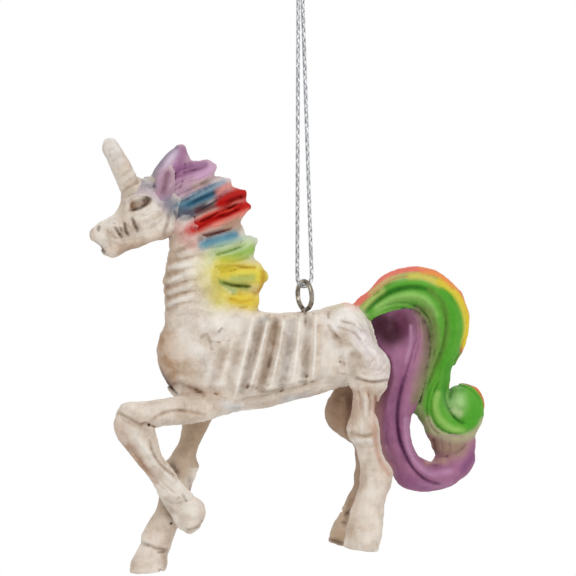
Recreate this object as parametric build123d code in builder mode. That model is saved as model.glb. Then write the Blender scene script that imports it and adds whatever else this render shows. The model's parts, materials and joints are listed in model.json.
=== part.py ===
from build123d import *

import math
import os

# Skeleton unicorn ornament: a cast figurine that hangs on a cord loop by a screw eye in its back.
#
# Millimetres, +Z up. The nose points towards -X and the displayed left flank towards -Y.
# The origin is the point where the cord loop hangs, right under its knot.

os.makedirs("parts", exist_ok=True)

# Driving dimensions of the figurine
figure_height = 100.0
torso_width = 16.4
rib_relief = 1.3
pelvis_width = 16.4
neck_width = 8.8
skull_width = 8.8
jaw_width = 6.2
horn_width = 4.6
ear_thickness = 2.4
ear_spread = 8.4
mane_width = 8.4
tail_width = 11.4
rim_width = 3.0
foreleg_width = 6.2
hind_leg_width = 7.0
leg_track = 12.4

# Screw eye
ring_bore = 5.4
eye_wire = 1.1
shank_diameter = 1.6
shank_length = 9.0
shank_fit = 0.05
shank_end_gap = 0.4
eye_lift = 0.3
ring_turn = 9.5

# Cord loop and knot
cord_diameter = 1.0
loop_drop = 67.5
bight_half_width = 1.95
bight_gap = 0.1
bight_radius_share = 0.95
strand_gap = 0.04
knot_diameter = 3.6
knot_height = 3.4
knot_round = 0.9
cut_end_length = 6.5
cut_end_lean = 12.0

# How the side view that the outlines follow is turned, raised and rolled, in degrees
view_turn = 20.0
view_raise = 8.0
view_roll = 0.86

# Pixels of that view: where the shank enters the back, and the figure's height
SEAT_PX = (305, 313)
FIGURE_HEIGHT_PX = 436

OVAL_POINTS = 12
least_half_share = 0.4

ring_diameter = ring_bore + eye_wire
hinge_z = -loop_drop
seat_z = hinge_z - ring_diameter - eye_wire / 2 - eye_lift
pixel = figure_height / FIGURE_HEIGHT_PX

turn_sin = math.sin(math.radians(view_turn))
turn_cos = math.cos(math.radians(view_turn))
raise_sin = math.sin(math.radians(view_raise))
raise_cos = math.cos(math.radians(view_raise))
roll_tan = math.tan(math.radians(view_roll))


def picture_offset(px, py):
    """Returns a pixel's distance right of and above the seat, in millimetres of the view."""
    right = (px - SEAT_PX[0]) - (py - SEAT_PX[1]) * roll_tan
    down = (py - SEAT_PX[1]) + (px - SEAT_PX[0]) * roll_tan
    return right * pixel, -down * pixel


def seen(px, py, side):
    """Returns the point of the plane y = side that the view shows at a pixel."""
    right, up = picture_offset(px, py)
    x = (right + turn_sin * side) / turn_cos
    z = (up - raise_sin * (turn_sin * x + turn_cos * side)) / raise_cos
    return Vector(x, side, seat_z + z)


def oval(half_across, half_width):
    """Returns the points of an ellipse, evenly spaced in angle."""
    angles = [math.tau * step / OVAL_POINTS for step in range(OVAL_POINTS)]
    return [(half_across * math.cos(angle), half_width * math.sin(angle)) for angle in angles]


def real_half(edge_px, half_width, a, b):
    """Returns a section's half size across, less what its width adds in the turned view."""
    ax, ay, bx, by = edge_px
    along = Vector(bx - ax, ay - by).normalized()
    shown_half = math.hypot(bx - ax, by - ay) * pixel / 2
    full_half = (b - a).length / 2
    width_shown = half_width * abs(raise_sin * turn_cos * along.Y - turn_sin * along.X)
    least = (least_half_share * shown_half) ** 2
    return math.sqrt(max(shown_half**2 - width_shown**2, least)) * full_half / shown_half


def casting(label, edges_px, width, width_shares, sides=None, cut_by=()):
    """Returns one cast piece: a loft through ovals set on pairs of outline pixels.

    Each row of edges_px holds the two opposite outline pixels of a section, sides the
    y of its middle, and cut_by the larger neighbours that the piece is seated on.
    """
    sides = sides or [0] * len(edges_px)
    with BuildPart() as piece:
        for edge_px, width_share, side in zip(edges_px, width_shares, sides, strict=True):
            a = seen(edge_px[0], edge_px[1], side)
            b = seen(edge_px[2], edge_px[3], side)
            half_width = width * width_share / 2
            half_across = real_half(edge_px, half_width, a, b)
            across = b - a
            plane = Plane(origin=(a + b) / 2, x_dir=across, z_dir=across.cross(Vector(0, 1, 0)))
            with BuildSketch(plane):
                with BuildLine():
                    Spline(*oval(half_across, half_width), periodic=True)
                make_face()
        loft()
        for neighbour in cut_by:
            add(neighbour.part, mode=Mode.SUBTRACT)
    piece.part.label = label
    return piece


def shares_of(size, shares):
    """Returns each share times the size."""
    return [size * share for share in shares]


# Barrel of the body: the smooth shoulder, then a ridge for each rib
SHOULDER_PX = [
    (158, 344, 158, 357),
    (160, 336, 161, 370),
    (165, 327, 168, 388),
    (176, 319, 178, 399),
    (196, 313, 192, 406),
    (220, 311, 204, 411),
]
shoulder_width_shares = [0.18, 0.38, 0.54, 0.68, 0.8, 0.88]
RIBS_PX = [
    (238, 312, 219, 412),
    (254, 312, 236, 411),
    (270, 313, 255, 409),
    (286, 313, 275, 405),
    (302, 312, 297, 399),
    (316, 311, 315, 395),
]
rib_width_shares = [0.93, 0.97, 1.0, 1.01, 1.0, 0.98]
LOIN_PX = (331, 308, 333, 389)
loin_width_share = 0.92

rib_rows = []
rib_shares = []
relief_share = rib_relief / torso_width
for rib, (row, share) in enumerate(zip(RIBS_PX, rib_width_shares, strict=True)):
    following = RIBS_PX[rib + 1] if rib + 1 < len(RIBS_PX) else LOIN_PX
    hollow = tuple((here + there) / 2 for here, there in zip(row, following, strict=True))
    rib_rows += [row, hollow]
    rib_shares += [share + relief_share, share - relief_share]

barrel = casting(
    "barrel",
    SHOULDER_PX + rib_rows + [LOIN_PX],
    torso_width,
    shoulder_width_shares + rib_shares + [loin_width_share],
)
with BuildPart() as torso:
    add(barrel.part)
    # Bore that the eye's shank is screwed into
    with BuildSketch(Plane.XY.offset(seat_z + eye_wire)):
        Circle(shank_diameter / 2 + shank_fit)
    extrude(amount=-(eye_wire + shank_length + shank_end_gap), mode=Mode.SUBTRACT)
torso.part.label = "chest_and_barrel"

# Pelvis, from the loin to the rump
loin_joint_share = loin_width_share * torso_width / pelvis_width
pelvis = casting(
    "pelvis",
    [
        LOIN_PX,
        (341, 304, 345, 387),
        (350, 303, 354, 384),
        (359, 311, 361, 378),
        (366, 323, 367, 370),
        (371, 338, 371, 356),
    ],
    pelvis_width,
    [loin_joint_share, 0.96, 0.94, 0.82, 0.6, 0.25],
)

# Neck, from under the skull down into the chest
neck = casting(
    "neck",
    [
        (170, 228, 190, 206),
        (171, 242, 204, 227),
        (168, 260, 217, 252),
        (163, 281, 229, 277),
        (165, 297, 241, 296),
        (164, 312, 254, 311),
        (163, 330, 262, 328),
        (166, 346, 260, 344),
    ],
    neck_width,
    [0.8, 0.88, 0.98, 1.1, 1.22, 1.36, 1.46, 1.4],
    cut_by=[torso],
)

# Head
skull = casting(
    "skull",
    [
        (91, 231, 92, 239),
        (96, 225, 99, 245),
        (107, 218, 110, 244),
        (118, 209, 122, 241),
        (123, 199, 137, 239),
        (134, 184, 150, 237),
        (150, 178, 161, 233),
        (164, 181, 171, 224),
        (177, 190, 179, 212),
    ],
    skull_width,
    [0.3, 0.5, 0.62, 0.74, 0.92, 1.0, 0.98, 0.85, 0.45],
    cut_by=[neck],
)
jaw = casting(
    "jaw",
    [
        (103, 249, 107, 256),
        (108, 244, 114, 258),
        (118, 238, 126, 250),
        (134, 234, 140, 247),
        (150, 226, 155, 240),
        (162, 214, 167, 237),
        (169, 212, 173, 226),
    ],
    jaw_width,
    [0.4, 0.62, 0.78, 0.9, 1.0, 0.95, 0.5],
    cut_by=[skull, neck],
)
horn = casting(
    "horn",
    [
        (124, 199, 145, 188),
        (117, 179, 133, 170),
        (109, 160, 123, 153),
        (104, 147, 118, 142),
        (106, 139, 114, 137),
    ],
    horn_width,
    [1.1, 0.86, 0.76, 0.7, 0.38],
    cut_by=[skull],
)

# Mane locks, each laid over the one before it, and the ears in front of the crest
mane_crest = casting(
    "mane_crest",
    [
        (152, 184, 181, 198),
        (155, 172, 186, 184),
        (163, 160, 189, 171),
        (170, 150, 189, 159),
        (174, 146, 186, 148),
    ],
    mane_width,
    [0.8, 0.9, 0.78, 0.56, 0.3],
    cut_by=[skull, neck],
)
mane_lilac_lock = casting(
    "mane_lilac_lock",
    [
        (172, 172, 176, 202),
        (186, 163, 189, 194),
        (200, 161, 204, 187),
        (210, 160, 212, 178),
        (214, 163, 214, 172),
    ],
    mane_width,
    [0.8, 0.84, 0.72, 0.5, 0.28],
    cut_by=[skull, neck, mane_crest],
)
mane_blue_lock = casting(
    "mane_blue_lock",
    [
        (178, 196, 184, 221),
        (190, 190, 195, 217),
        (205, 183, 211, 208),
        (220, 177, 225, 200),
        (229, 177, 231, 188),
    ],
    mane_width,
    [0.8, 0.82, 0.7, 0.52, 0.28],
    cut_by=[skull, neck, mane_crest, mane_lilac_lock],
)
mane_red_upper_lock = casting(
    "mane_red_upper_lock",
    [
        (184, 214, 189, 231),
        (206, 201, 211, 221),
        (225, 189, 230, 212),
        (238, 186, 242, 208),
        (245, 190, 246, 201),
    ],
    mane_width,
    [0.78, 0.8, 0.7, 0.5, 0.28],
    cut_by=[neck, mane_blue_lock],
)
mane_red_lower_lock = casting(
    "mane_red_lower_lock",
    [
        (186, 222, 193, 239),
        (208, 212, 214, 236),
        (228, 206, 234, 231),
        (242, 202, 243, 218),
        (249, 204, 249, 210),
    ],
    mane_width,
    [0.82, 0.86, 0.7, 0.46, 0.24],
    cut_by=[neck, mane_red_upper_lock],
)
mane_teal_lock = casting(
    "mane_teal_lock",
    [
        (194, 236, 199, 257),
        (212, 228, 217, 252),
        (229, 223, 233, 249),
        (238, 224, 242, 243),
    ],
    mane_width,
    [0.8, 0.8, 0.66, 0.4],
    cut_by=[neck, mane_red_lower_lock],
)
mane_green_lock = casting(
    "mane_green_lock",
    [
        (200, 253, 206, 275),
        (220, 247, 225, 271),
        (238, 242, 242, 267),
        (250, 235, 252, 262),
        (256, 237, 255, 247),
    ],
    mane_width,
    [0.86, 0.9, 0.76, 0.54, 0.26],
    cut_by=[neck, mane_teal_lock],
)
mane_yellow_upper_lock = casting(
    "mane_yellow_upper_lock",
    [
        (205, 269, 211, 293),
        (225, 264, 229, 293),
        (245, 260, 248, 292),
        (258, 262, 259, 291),
        (264, 270, 264, 283),
    ],
    mane_width,
    [0.96, 1.04, 0.92, 0.64, 0.32],
    cut_by=[neck, mane_green_lock],
)
mane_yellow_lower_lock = casting(
    "mane_yellow_lower_lock",
    [
        (213, 288, 221, 312),
        (232, 286, 238, 314),
        (248, 288, 251, 313),
        (258, 291, 258, 310),
    ],
    mane_width,
    [1.04, 1.1, 0.9, 0.5],
    cut_by=[torso, neck, mane_yellow_upper_lock],
)
left_ear = casting(
    "left_ear",
    [
        (159, 198, 170, 194),
        (157, 187, 172, 184),
        (161, 177, 172, 175),
        (167, 170, 170, 170),
    ],
    ear_thickness,
    [0.9, 1.0, 0.8, 0.4],
    shares_of(-ear_spread / 2, [0.92, 1.0, 1.06, 1.1]),
    cut_by=[skull, mane_crest, mane_lilac_lock],
)
right_ear = casting(
    "right_ear",
    [
        (140, 194, 157, 192),
        (140, 185, 156, 184),
        (144, 178, 153, 177),
    ],
    ear_thickness,
    [0.9, 1.0, 0.5],
    shares_of(ear_spread / 2, [0.9, 1.0, 1.06]),
    cut_by=[skull, mane_crest, horn],
)

# Raised left foreleg
half_track = leg_track / 2
left_knee_px = (118, 412, 152, 430)
left_fetlock_px = (159, 494, 192, 493)
left_forearm = casting(
    "left_forearm",
    [
        (222, 392, 222, 412),
        (206, 394, 209, 419),
        (190, 397, 190, 422),
        (168, 399, 169, 424),
        (138, 401, 156, 427),
        (124, 404, 154, 428),
        left_knee_px,
    ],
    foreleg_width,
    [0.8, 0.95, 1.0, 0.95, 0.9, 0.88, 0.84],
    shares_of(-half_track, [0.75, 0.86, 0.95, 1.0, 0.99, 0.98, 0.97]),
    cut_by=[torso],
)
left_fore_cannon = casting(
    "left_fore_cannon",
    [
        left_knee_px,
        (114, 424, 155, 433),
        (118, 436, 156, 437),
        (127, 448, 158, 443),
        (137, 460, 162, 453),
        (147, 474, 171, 465),
        (153, 482, 182, 477),
        left_fetlock_px,
    ],
    foreleg_width,
    [0.84, 0.86, 0.86, 0.8, 0.74, 0.74, 0.78, 0.82],
    shares_of(-half_track, [0.97, 0.94, 0.9, 0.84, 0.76, 0.66, 0.58, 0.48]),
)

# Standing right foreleg
right_knee_px = (166, 464, 198, 466)
right_coronet_px = (141, 542, 170, 549)
right_forearm = casting(
    "right_forearm",
    [
        (188, 396, 218, 392),
        (183, 418, 213, 415),
        (181, 432, 206, 430),
        (178, 444, 200, 443),
        (171, 456, 196, 455),
        right_knee_px,
    ],
    foreleg_width,
    [0.95, 1.0, 0.92, 0.86, 0.9, 0.92],
    shares_of(half_track, [0.9, 0.92, 0.9, 0.86, 0.8, 0.76]),
    cut_by=[torso, left_forearm],
)
right_fore_cannon = casting(
    "right_fore_cannon",
    [
        right_knee_px,
        (163, 475, 195, 478),
        (161, 485, 191, 488),
        (159, 497, 188, 499),
        (155, 511, 183, 513),
        (148, 523, 179, 524),
        (142, 533, 174, 537),
        right_coronet_px,
    ],
    foreleg_width,
    [0.92, 0.84, 0.76, 0.74, 0.76, 0.82, 0.86, 0.86],
    shares_of(half_track, [0.76, 0.7, 0.66, 0.6, 0.56, 0.54, 0.54, 0.54]),
    cut_by=[left_fore_cannon],
)
right_fore_hoof = casting(
    "right_fore_hoof",
    [
        right_coronet_px,
        (136, 551, 168, 556),
        (131, 562, 168, 563),
        (130, 573, 166, 569),
    ],
    foreleg_width,
    [0.86, 0.98, 1.06, 1.1],
    shares_of(half_track, [0.54, 0.54, 0.54, 0.54]),
)
left_fore_hoof = casting(
    "left_fore_hoof",
    [
        left_fetlock_px,
        (161, 503, 200, 500),
        (165, 513, 205, 508),
        (171, 522, 205, 517),
        (178, 529, 201, 526),
        (185, 533, 195, 531),
    ],
    foreleg_width,
    [0.82, 0.92, 0.98, 0.94, 0.76, 0.36],
    shares_of(-half_track, [0.48, 0.44, 0.4, 0.38, 0.37, 0.37]),
    cut_by=[right_fore_cannon],
)

# Standing left hind leg
left_stifle_px = (350, 386, 389, 385)
left_hock_px = (349, 437, 379, 438)
left_hind_coronet_px = (351, 512, 384, 513)
left_thigh = casting(
    "left_thigh",
    [
        (340, 313, 357, 311),
        (335, 325, 366, 325),
        (336, 344, 374, 343),
        (341, 362, 387, 358),
        (346, 375, 390, 372),
        left_stifle_px,
    ],
    hind_leg_width,
    [0.5, 0.9, 1.06, 1.08, 1.02, 0.96],
    shares_of(-half_track, [0.62, 0.78, 0.88, 0.96, 1.0, 1.0]),
    cut_by=[pelvis, torso],
)
left_gaskin = casting(
    "left_gaskin",
    [
        left_stifle_px,
        (353, 394, 382, 397),
        (352, 408, 375, 408),
        (349, 420, 378, 420),
        (346, 430, 379, 430),
        left_hock_px,
    ],
    hind_leg_width,
    [0.96, 0.9, 0.86, 0.9, 0.94, 0.92],
    shares_of(-half_track, [1.0, 1.0, 1.0, 1.0, 1.0, 1.0]),
    cut_by=[pelvis],
)
left_hind_cannon = casting(
    "left_hind_cannon",
    [
        left_hock_px,
        (356, 449, 381, 448),
        (359, 462, 386, 460),
        (360, 474, 393, 472),
        (359, 486, 390, 487),
        (355, 500, 385, 501),
        left_hind_coronet_px,
    ],
    hind_leg_width,
    [0.92, 0.84, 0.82, 0.84, 0.86, 0.88, 0.92],
    shares_of(-half_track, [1.0, 1.0, 1.0, 1.0, 1.0, 1.0, 1.0]),
)
left_hind_hoof = casting(
    "left_hind_hoof",
    [
        left_hind_coronet_px,
        (347, 527, 383, 529),
        (344, 542, 380, 545),
        (343, 548, 379, 551),
    ],
    hind_leg_width,
    [0.92, 1.0, 1.08, 1.1],
    shares_of(-half_track, [1.0, 1.0, 1.0, 1.0]),
)

# Standing right hind leg
right_stifle_px = (333, 390, 363, 381)
right_hock_px = (347, 438, 375, 428)
right_hind_coronet_px = (342, 510, 366, 515)
right_thigh = casting(
    "right_thigh",
    [
        (322, 316, 344, 312),
        (319, 334, 352, 330),
        (324, 354, 361, 348),
        (329, 373, 364, 366),
        right_stifle_px,
    ],
    hind_leg_width,
    [0.5, 0.95, 1.06, 1.02, 0.96],
    shares_of(half_track, [0.66, 0.82, 0.92, 0.98, 1.0]),
    cut_by=[pelvis, torso],
)
right_gaskin = casting(
    "right_gaskin",
    [
        right_stifle_px,
        (326, 407, 353, 394),
        (329, 423, 361, 404),
        (338, 432, 369, 416),
        right_hock_px,
    ],
    hind_leg_width,
    [0.96, 0.9, 0.9, 0.92, 0.92],
    shares_of(half_track, [1.0, 1.0, 1.0, 1.0, 1.0]),
    cut_by=[pelvis, torso],
)
right_hind_cannon = casting(
    "right_hind_cannon",
    [
        right_hock_px,
        (355, 448, 379, 442),
        (356, 459, 381, 457),
        (355, 474, 380, 474),
        (352, 489, 376, 491),
        (345, 501, 370, 505),
        right_hind_coronet_px,
    ],
    hind_leg_width,
    [0.92, 0.84, 0.8, 0.8, 0.84, 0.88, 0.92],
    shares_of(half_track, [1.0, 1.0, 1.0, 1.0, 1.0, 1.0, 1.0]),
)
right_hind_hoof = casting(
    "right_hind_hoof",
    [
        right_hind_coronet_px,
        (336, 521, 364, 525),
        (331, 531, 361, 536),
        (329, 540, 358, 546),
    ],
    hind_leg_width,
    [0.92, 1.0, 1.06, 1.1],
    shares_of(half_track, [1.0, 1.0, 1.0, 1.0]),
)

# Tail: a green lock that ends in a curl, a rim lock along its outside, and a purple lock
hollow_centre_px = (389, 329)
hollow_radius_px = 12
hollow_width_share = 0.68
hollow_depth = 1.3
green_strand = casting(
    "green_strand",
    [
        (356, 308, 362, 322),
        (373, 292, 379, 314),
        (389, 278, 393, 309),
        (406, 272, 407, 307),
        (447, 284, 424, 321),
        (460, 303, 428, 333),
        (465, 324, 428, 346),
        (460, 344, 426, 358),
        (452, 360, 422, 371),
        (448, 378, 416, 389),
        (448, 392, 412, 406),
        (450, 403, 417, 420),
        (455, 411, 431, 433),
        (460, 414, 446, 438),
        (466, 414, 463, 438),
        (470, 411, 476, 431),
        (471, 406, 483, 419),
    ],
    tail_width,
    [0.5, 0.66, 0.8, 0.9, 1.0, 1.0, 0.96, 0.9, 0.84, 0.78, 0.74, 0.72, 0.7, 0.68, 0.66, 0.62, 0.5],
    cut_by=[pelvis, left_thigh, right_thigh],
)
green_curl = casting(
    "green_curl",
    [
        (444.5, 404, 444.5, 410),
        (446, 397, 446, 417),
        (450, 391, 450, 423),
        (456, 388, 456, 426),
        (464, 386.5, 464, 427.5),
        (472, 388, 472, 426),
        (478, 391, 478, 423),
        (482, 397, 482, 417),
        (483.5, 404, 483.5, 410),
    ],
    tail_width,
    [0.2, 0.46, 0.66, 0.8, 0.86, 0.8, 0.66, 0.46, 0.2],
)
with BuildPart() as tail_green_lock:
    add(green_strand.part)
    add(green_curl.part)
tail_green_lock.part.label = "tail_green_lock"

tail_rim_lock = casting(
    "tail_rim_lock",
    [
        (351, 301, 358, 313),
        (369, 286, 377, 297),
        (387, 273, 392, 284),
        (405, 267, 406, 278),
        (428, 268, 425, 279),
        (451, 280, 443, 289),
        (466, 300, 455, 307),
        (471, 322, 460, 325),
        (467, 344, 456, 343),
        (458, 361, 451, 357),
    ],
    rim_width,
    [0.6, 0.8, 1.0, 1.0, 1.0, 1.0, 1.0, 0.9, 0.7, 0.4],
    cut_by=[tail_green_lock, pelvis, left_thigh],
)
purple_strand = casting(
    "purple_strand",
    [
        (384, 313, 404, 308),
        (374, 322, 423, 322),
        (371, 342, 427, 343),
        (377, 362, 424, 364),
        (383, 383, 416, 387),
        (379, 402, 411, 407),
        (378, 420, 410, 423),
        (381, 441, 411, 441),
        (390, 464, 416, 453),
        (406, 486, 424, 460),
        (430, 491, 432, 462),
        (454, 484, 437, 457),
        (471, 468, 438, 452),
        (475, 450, 434, 444),
        (472, 436, 431, 436),
    ],
    tail_width,
    [0.5, 0.78, 0.86, 0.88, 0.86, 0.86, 0.86, 0.86, 0.86, 0.86, 0.84, 0.82, 0.78, 0.72, 0.66],
    cut_by=[
        tail_green_lock,
        pelvis,
        left_thigh,
        left_gaskin,
        left_hind_cannon,
        right_thigh,
        right_gaskin,
        right_hind_cannon,
    ],
)
with BuildPart() as tail_purple_lock:
    add(purple_strand.part)
    # Round hollow near its root, on both faces
    hollow_sphere = (hollow_radius_px * pixel) ** 2 / hollow_depth / 2 + hollow_depth / 2
    lock_face = tail_width * hollow_width_share / 2
    sphere_side = lock_face - hollow_depth + hollow_sphere
    near_face = seen(hollow_centre_px[0], hollow_centre_px[1], -lock_face)
    with Locations((near_face.X, -sphere_side, near_face.Z), (near_face.X, sphere_side, near_face.Z)):
        Sphere(hollow_sphere, mode=Mode.SUBTRACT)
tail_purple_lock.part.label = "tail_purple_lock"

# Screw eye: a wire ring on a shank, turned a little about the vertical
up = Vector(0, 0, 1)
ring_along = Vector(-math.sin(math.radians(ring_turn)), math.cos(math.radians(ring_turn)), 0)
ring_axis = ring_along.cross(up)
ring_centre_z = hinge_z - ring_diameter / 2
with BuildPart() as screw_eye:
    with BuildSketch(Plane(origin=(0, 0, hinge_z), x_dir=ring_axis, z_dir=ring_along)):
        Circle(eye_wire / 2)
    revolve(axis=Axis((0, 0, ring_centre_z), ring_axis))
    with BuildSketch(Plane.XY.offset(hinge_z - ring_diameter)):
        Circle(shank_diameter / 2)
    extrude(amount=-(eye_wire / 2 + eye_lift + shank_length))
screw_eye.part.label = "screw_eye"

# Cord loop: two taut strands and the bight under the ring's top wire
strand_half_top = (cord_diameter + strand_gap) / 2
bight_z = hinge_z - eye_wire / 2 - cord_diameter / 2 - bight_gap
bight_radius = bight_half_width * bight_radius_share
cord_points = [
    (-strand_half_top, 0),
    (-bight_half_width, bight_z),
    (bight_half_width, bight_z),
    (strand_half_top, 0),
]
with BuildPart() as hanging_cord:
    with BuildLine(Plane(origin=(0, 0, 0), x_dir=ring_axis, z_dir=-ring_along)) as route:
        FilletPolyline(*cord_points, radius=[bight_radius, bight_radius])
    with BuildSketch(Plane(route.line @ 0, z_dir=route.line % 0)):
        Circle(cord_diameter / 2)
    sweep()
hanging_cord.part.label = "hanging_cord"

# Knot that closes the loop, with its two cut ends
with BuildPart() as cord_knot:
    with BuildSketch():
        Circle(knot_diameter / 2)
    extrude(amount=knot_height)
    fillet(cord_knot.edges().filter_by(GeomType.CIRCLE), radius=knot_round)
    for side in (-1, 1):
        lean = math.radians(cut_end_lean) * side
        end_direction = ring_axis * math.sin(lean) + up * math.cos(lean)
        end_start = ring_axis * (side * strand_half_top) + up * (knot_height / 2)
        with BuildSketch(Plane(origin=end_start, z_dir=end_direction)):
            Circle(cord_diameter / 2)
        extrude(amount=knot_height / 2 + cut_end_length)
cord_knot.part.label = "cord_knot"

loop_length = sum(edge.length for edge in route.edges())
cord_section = math.pi * cord_diameter**2 / 4
print("bight radii", bight_radius, bight_radius)
print("loop length", loop_length)
print("cord volume", hanging_cord.part.volume, "of", cord_section * loop_length)

pieces = [
    torso,
    pelvis,
    neck,
    skull,
    jaw,
    horn,
    left_ear,
    right_ear,
    mane_crest,
    mane_lilac_lock,
    mane_blue_lock,
    mane_red_upper_lock,
    mane_red_lower_lock,
    mane_teal_lock,
    mane_green_lock,
    mane_yellow_upper_lock,
    mane_yellow_lower_lock,
    left_forearm,
    left_fore_cannon,
    left_fore_hoof,
    right_forearm,
    right_fore_cannon,
    right_fore_hoof,
    left_thigh,
    left_gaskin,
    left_hind_cannon,
    left_hind_hoof,
    right_thigh,
    right_gaskin,
    right_hind_cannon,
    right_hind_hoof,
    tail_green_lock,
    tail_rim_lock,
    tail_purple_lock,
    screw_eye,
    hanging_cord,
    cord_knot,
]
for piece in pieces:
    print(piece.part.label, len(piece.part.solids()), piece.part.volume, piece.part.is_valid)
    export_step(piece.part, f"parts/{piece.part.label}.step")
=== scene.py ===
import json
import logging
import math
from dataclasses import dataclass, field
from enum import Enum
from typing import Any, Iterable, Sequence

import bpy
import numpy as np
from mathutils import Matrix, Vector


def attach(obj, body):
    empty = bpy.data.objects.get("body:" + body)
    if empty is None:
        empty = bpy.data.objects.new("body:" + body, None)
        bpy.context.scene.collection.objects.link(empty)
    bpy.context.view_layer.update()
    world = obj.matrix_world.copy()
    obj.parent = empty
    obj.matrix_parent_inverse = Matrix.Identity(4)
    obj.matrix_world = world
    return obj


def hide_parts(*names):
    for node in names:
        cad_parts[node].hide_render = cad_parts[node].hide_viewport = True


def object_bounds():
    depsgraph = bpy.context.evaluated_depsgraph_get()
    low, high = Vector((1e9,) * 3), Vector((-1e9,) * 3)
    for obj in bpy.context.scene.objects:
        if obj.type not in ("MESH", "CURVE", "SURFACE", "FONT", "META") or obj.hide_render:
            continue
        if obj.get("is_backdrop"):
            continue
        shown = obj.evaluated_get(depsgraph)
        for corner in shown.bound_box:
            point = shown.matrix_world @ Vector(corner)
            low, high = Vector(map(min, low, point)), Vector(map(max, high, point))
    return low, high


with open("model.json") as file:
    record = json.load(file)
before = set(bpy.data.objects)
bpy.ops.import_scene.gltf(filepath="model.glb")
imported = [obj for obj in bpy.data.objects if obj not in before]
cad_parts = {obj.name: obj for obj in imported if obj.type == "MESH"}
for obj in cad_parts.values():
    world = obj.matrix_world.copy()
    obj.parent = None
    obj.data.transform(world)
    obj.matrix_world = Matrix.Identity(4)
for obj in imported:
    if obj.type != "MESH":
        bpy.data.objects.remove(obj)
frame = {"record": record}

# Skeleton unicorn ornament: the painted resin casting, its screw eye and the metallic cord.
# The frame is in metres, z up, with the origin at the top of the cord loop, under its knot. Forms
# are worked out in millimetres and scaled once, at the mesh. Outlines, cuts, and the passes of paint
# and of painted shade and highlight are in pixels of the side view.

import openvdb as vdb
from mathutils import Matrix, Vector

log = logging.getLogger("unicorn")

Array = np.ndarray
Pixel = tuple[float, float]
Row = tuple[float, float, float, float]

MM = 0.001


# Colour and number helpers


def linear(code: str) -> tuple[float, float, float, float]:
    """Turns an sRGB hex colour into linear light.

    Args:
        code: six hex digits after a hash sign.

    Returns:
        Red, green, blue and an alpha of one.
    """
    parts = [int(code[i : i + 2], 16) / 255 for i in (1, 3, 5)]
    red, green, blue = (p / 12.92 if p <= 0.04045 else ((p + 0.055) / 1.055) ** 2.4 for p in parts)
    return red, green, blue, 1.0


def ramp(values: Array, low: float, high: float) -> Array:
    """Returns a smooth step from 0 at low to 1 at high: 3t^2 - 2t^3 of the clamped share t."""
    share = np.clip((values - low) / (high - low), 0, 1)
    return share * share * (3 - 2 * share)


def spline_through(rows: Array, per_span: int, keys: Array | None = None) -> Array:
    """Carries every column smoothly through its rows.

    A cubic Hermite curve, whose slope at a row is the centred difference over the row spacing.

    Args:
        rows: one row of numbers for each station.
        per_span: samples between two stations.
        keys: positions that give the spacing; the rows themselves when left out.

    Returns:
        The sampled rows, first and last included.
    """
    keys = rows if keys is None else keys
    gaps = np.maximum(np.linalg.norm(np.diff(keys, axis=0), axis=1), 1e-6)
    knots = np.concatenate([[0.0], np.cumsum(gaps)])
    slopes = np.gradient(rows, knots, axis=0)
    span = np.repeat(np.arange(len(rows) - 1), per_span)
    share = np.tile(np.arange(per_span) / per_span, len(rows) - 1)
    span, share = np.append(span, len(rows) - 2), np.append(share, 1.0)
    s = share[:, None]
    reach = gaps[span][:, None]
    return (
        (2 * s**3 - 3 * s**2 + 1) * rows[span]
        + (s**3 - 2 * s**2 + s) * reach * slopes[span]
        + (3 * s**2 - 2 * s**3) * rows[span + 1]
        + (s**3 - s**2) * reach * slopes[span + 1]
    )


def distance_along(px: Array, py: Array, path: Array) -> tuple[Array, Array, Array]:
    """Measures points of the picture against a drawn line.

    Args:
        px: pixels across.
        py: pixels down.
        path: the line's points.

    Returns:
        The distance to the nearest point of the line, that point's share of its length, and the
        sign of the side on which the measured point lies, one below a line that goes right.
    """
    steps = np.diff(path, axis=0)
    sizes = np.maximum(np.hypot(steps[:, 0], steps[:, 1]), 1e-6)
    starts = np.concatenate([[0.0], np.cumsum(sizes)])
    best = np.full(px.shape, np.inf)
    share, hand = np.zeros(px.shape), np.zeros(px.shape)
    for (ax, ay), (sx, sy), size, start in zip(path[:-1], steps, sizes, starts[:-1]):
        t = np.clip(((px - ax) * sx + (py - ay) * sy) / size**2, 0, 1)
        far = (px - ax - t * sx) ** 2 + (py - ay - t * sy) ** 2
        closer = far < best
        best = np.where(closer, far, best)
        share = np.where(closer, (start + t * size) / starts[-1], share)
        hand = np.where(closer, np.sign(sx * (py - ay) - sy * (px - ax)), hand)
    return np.sqrt(best), share, hand


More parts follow.
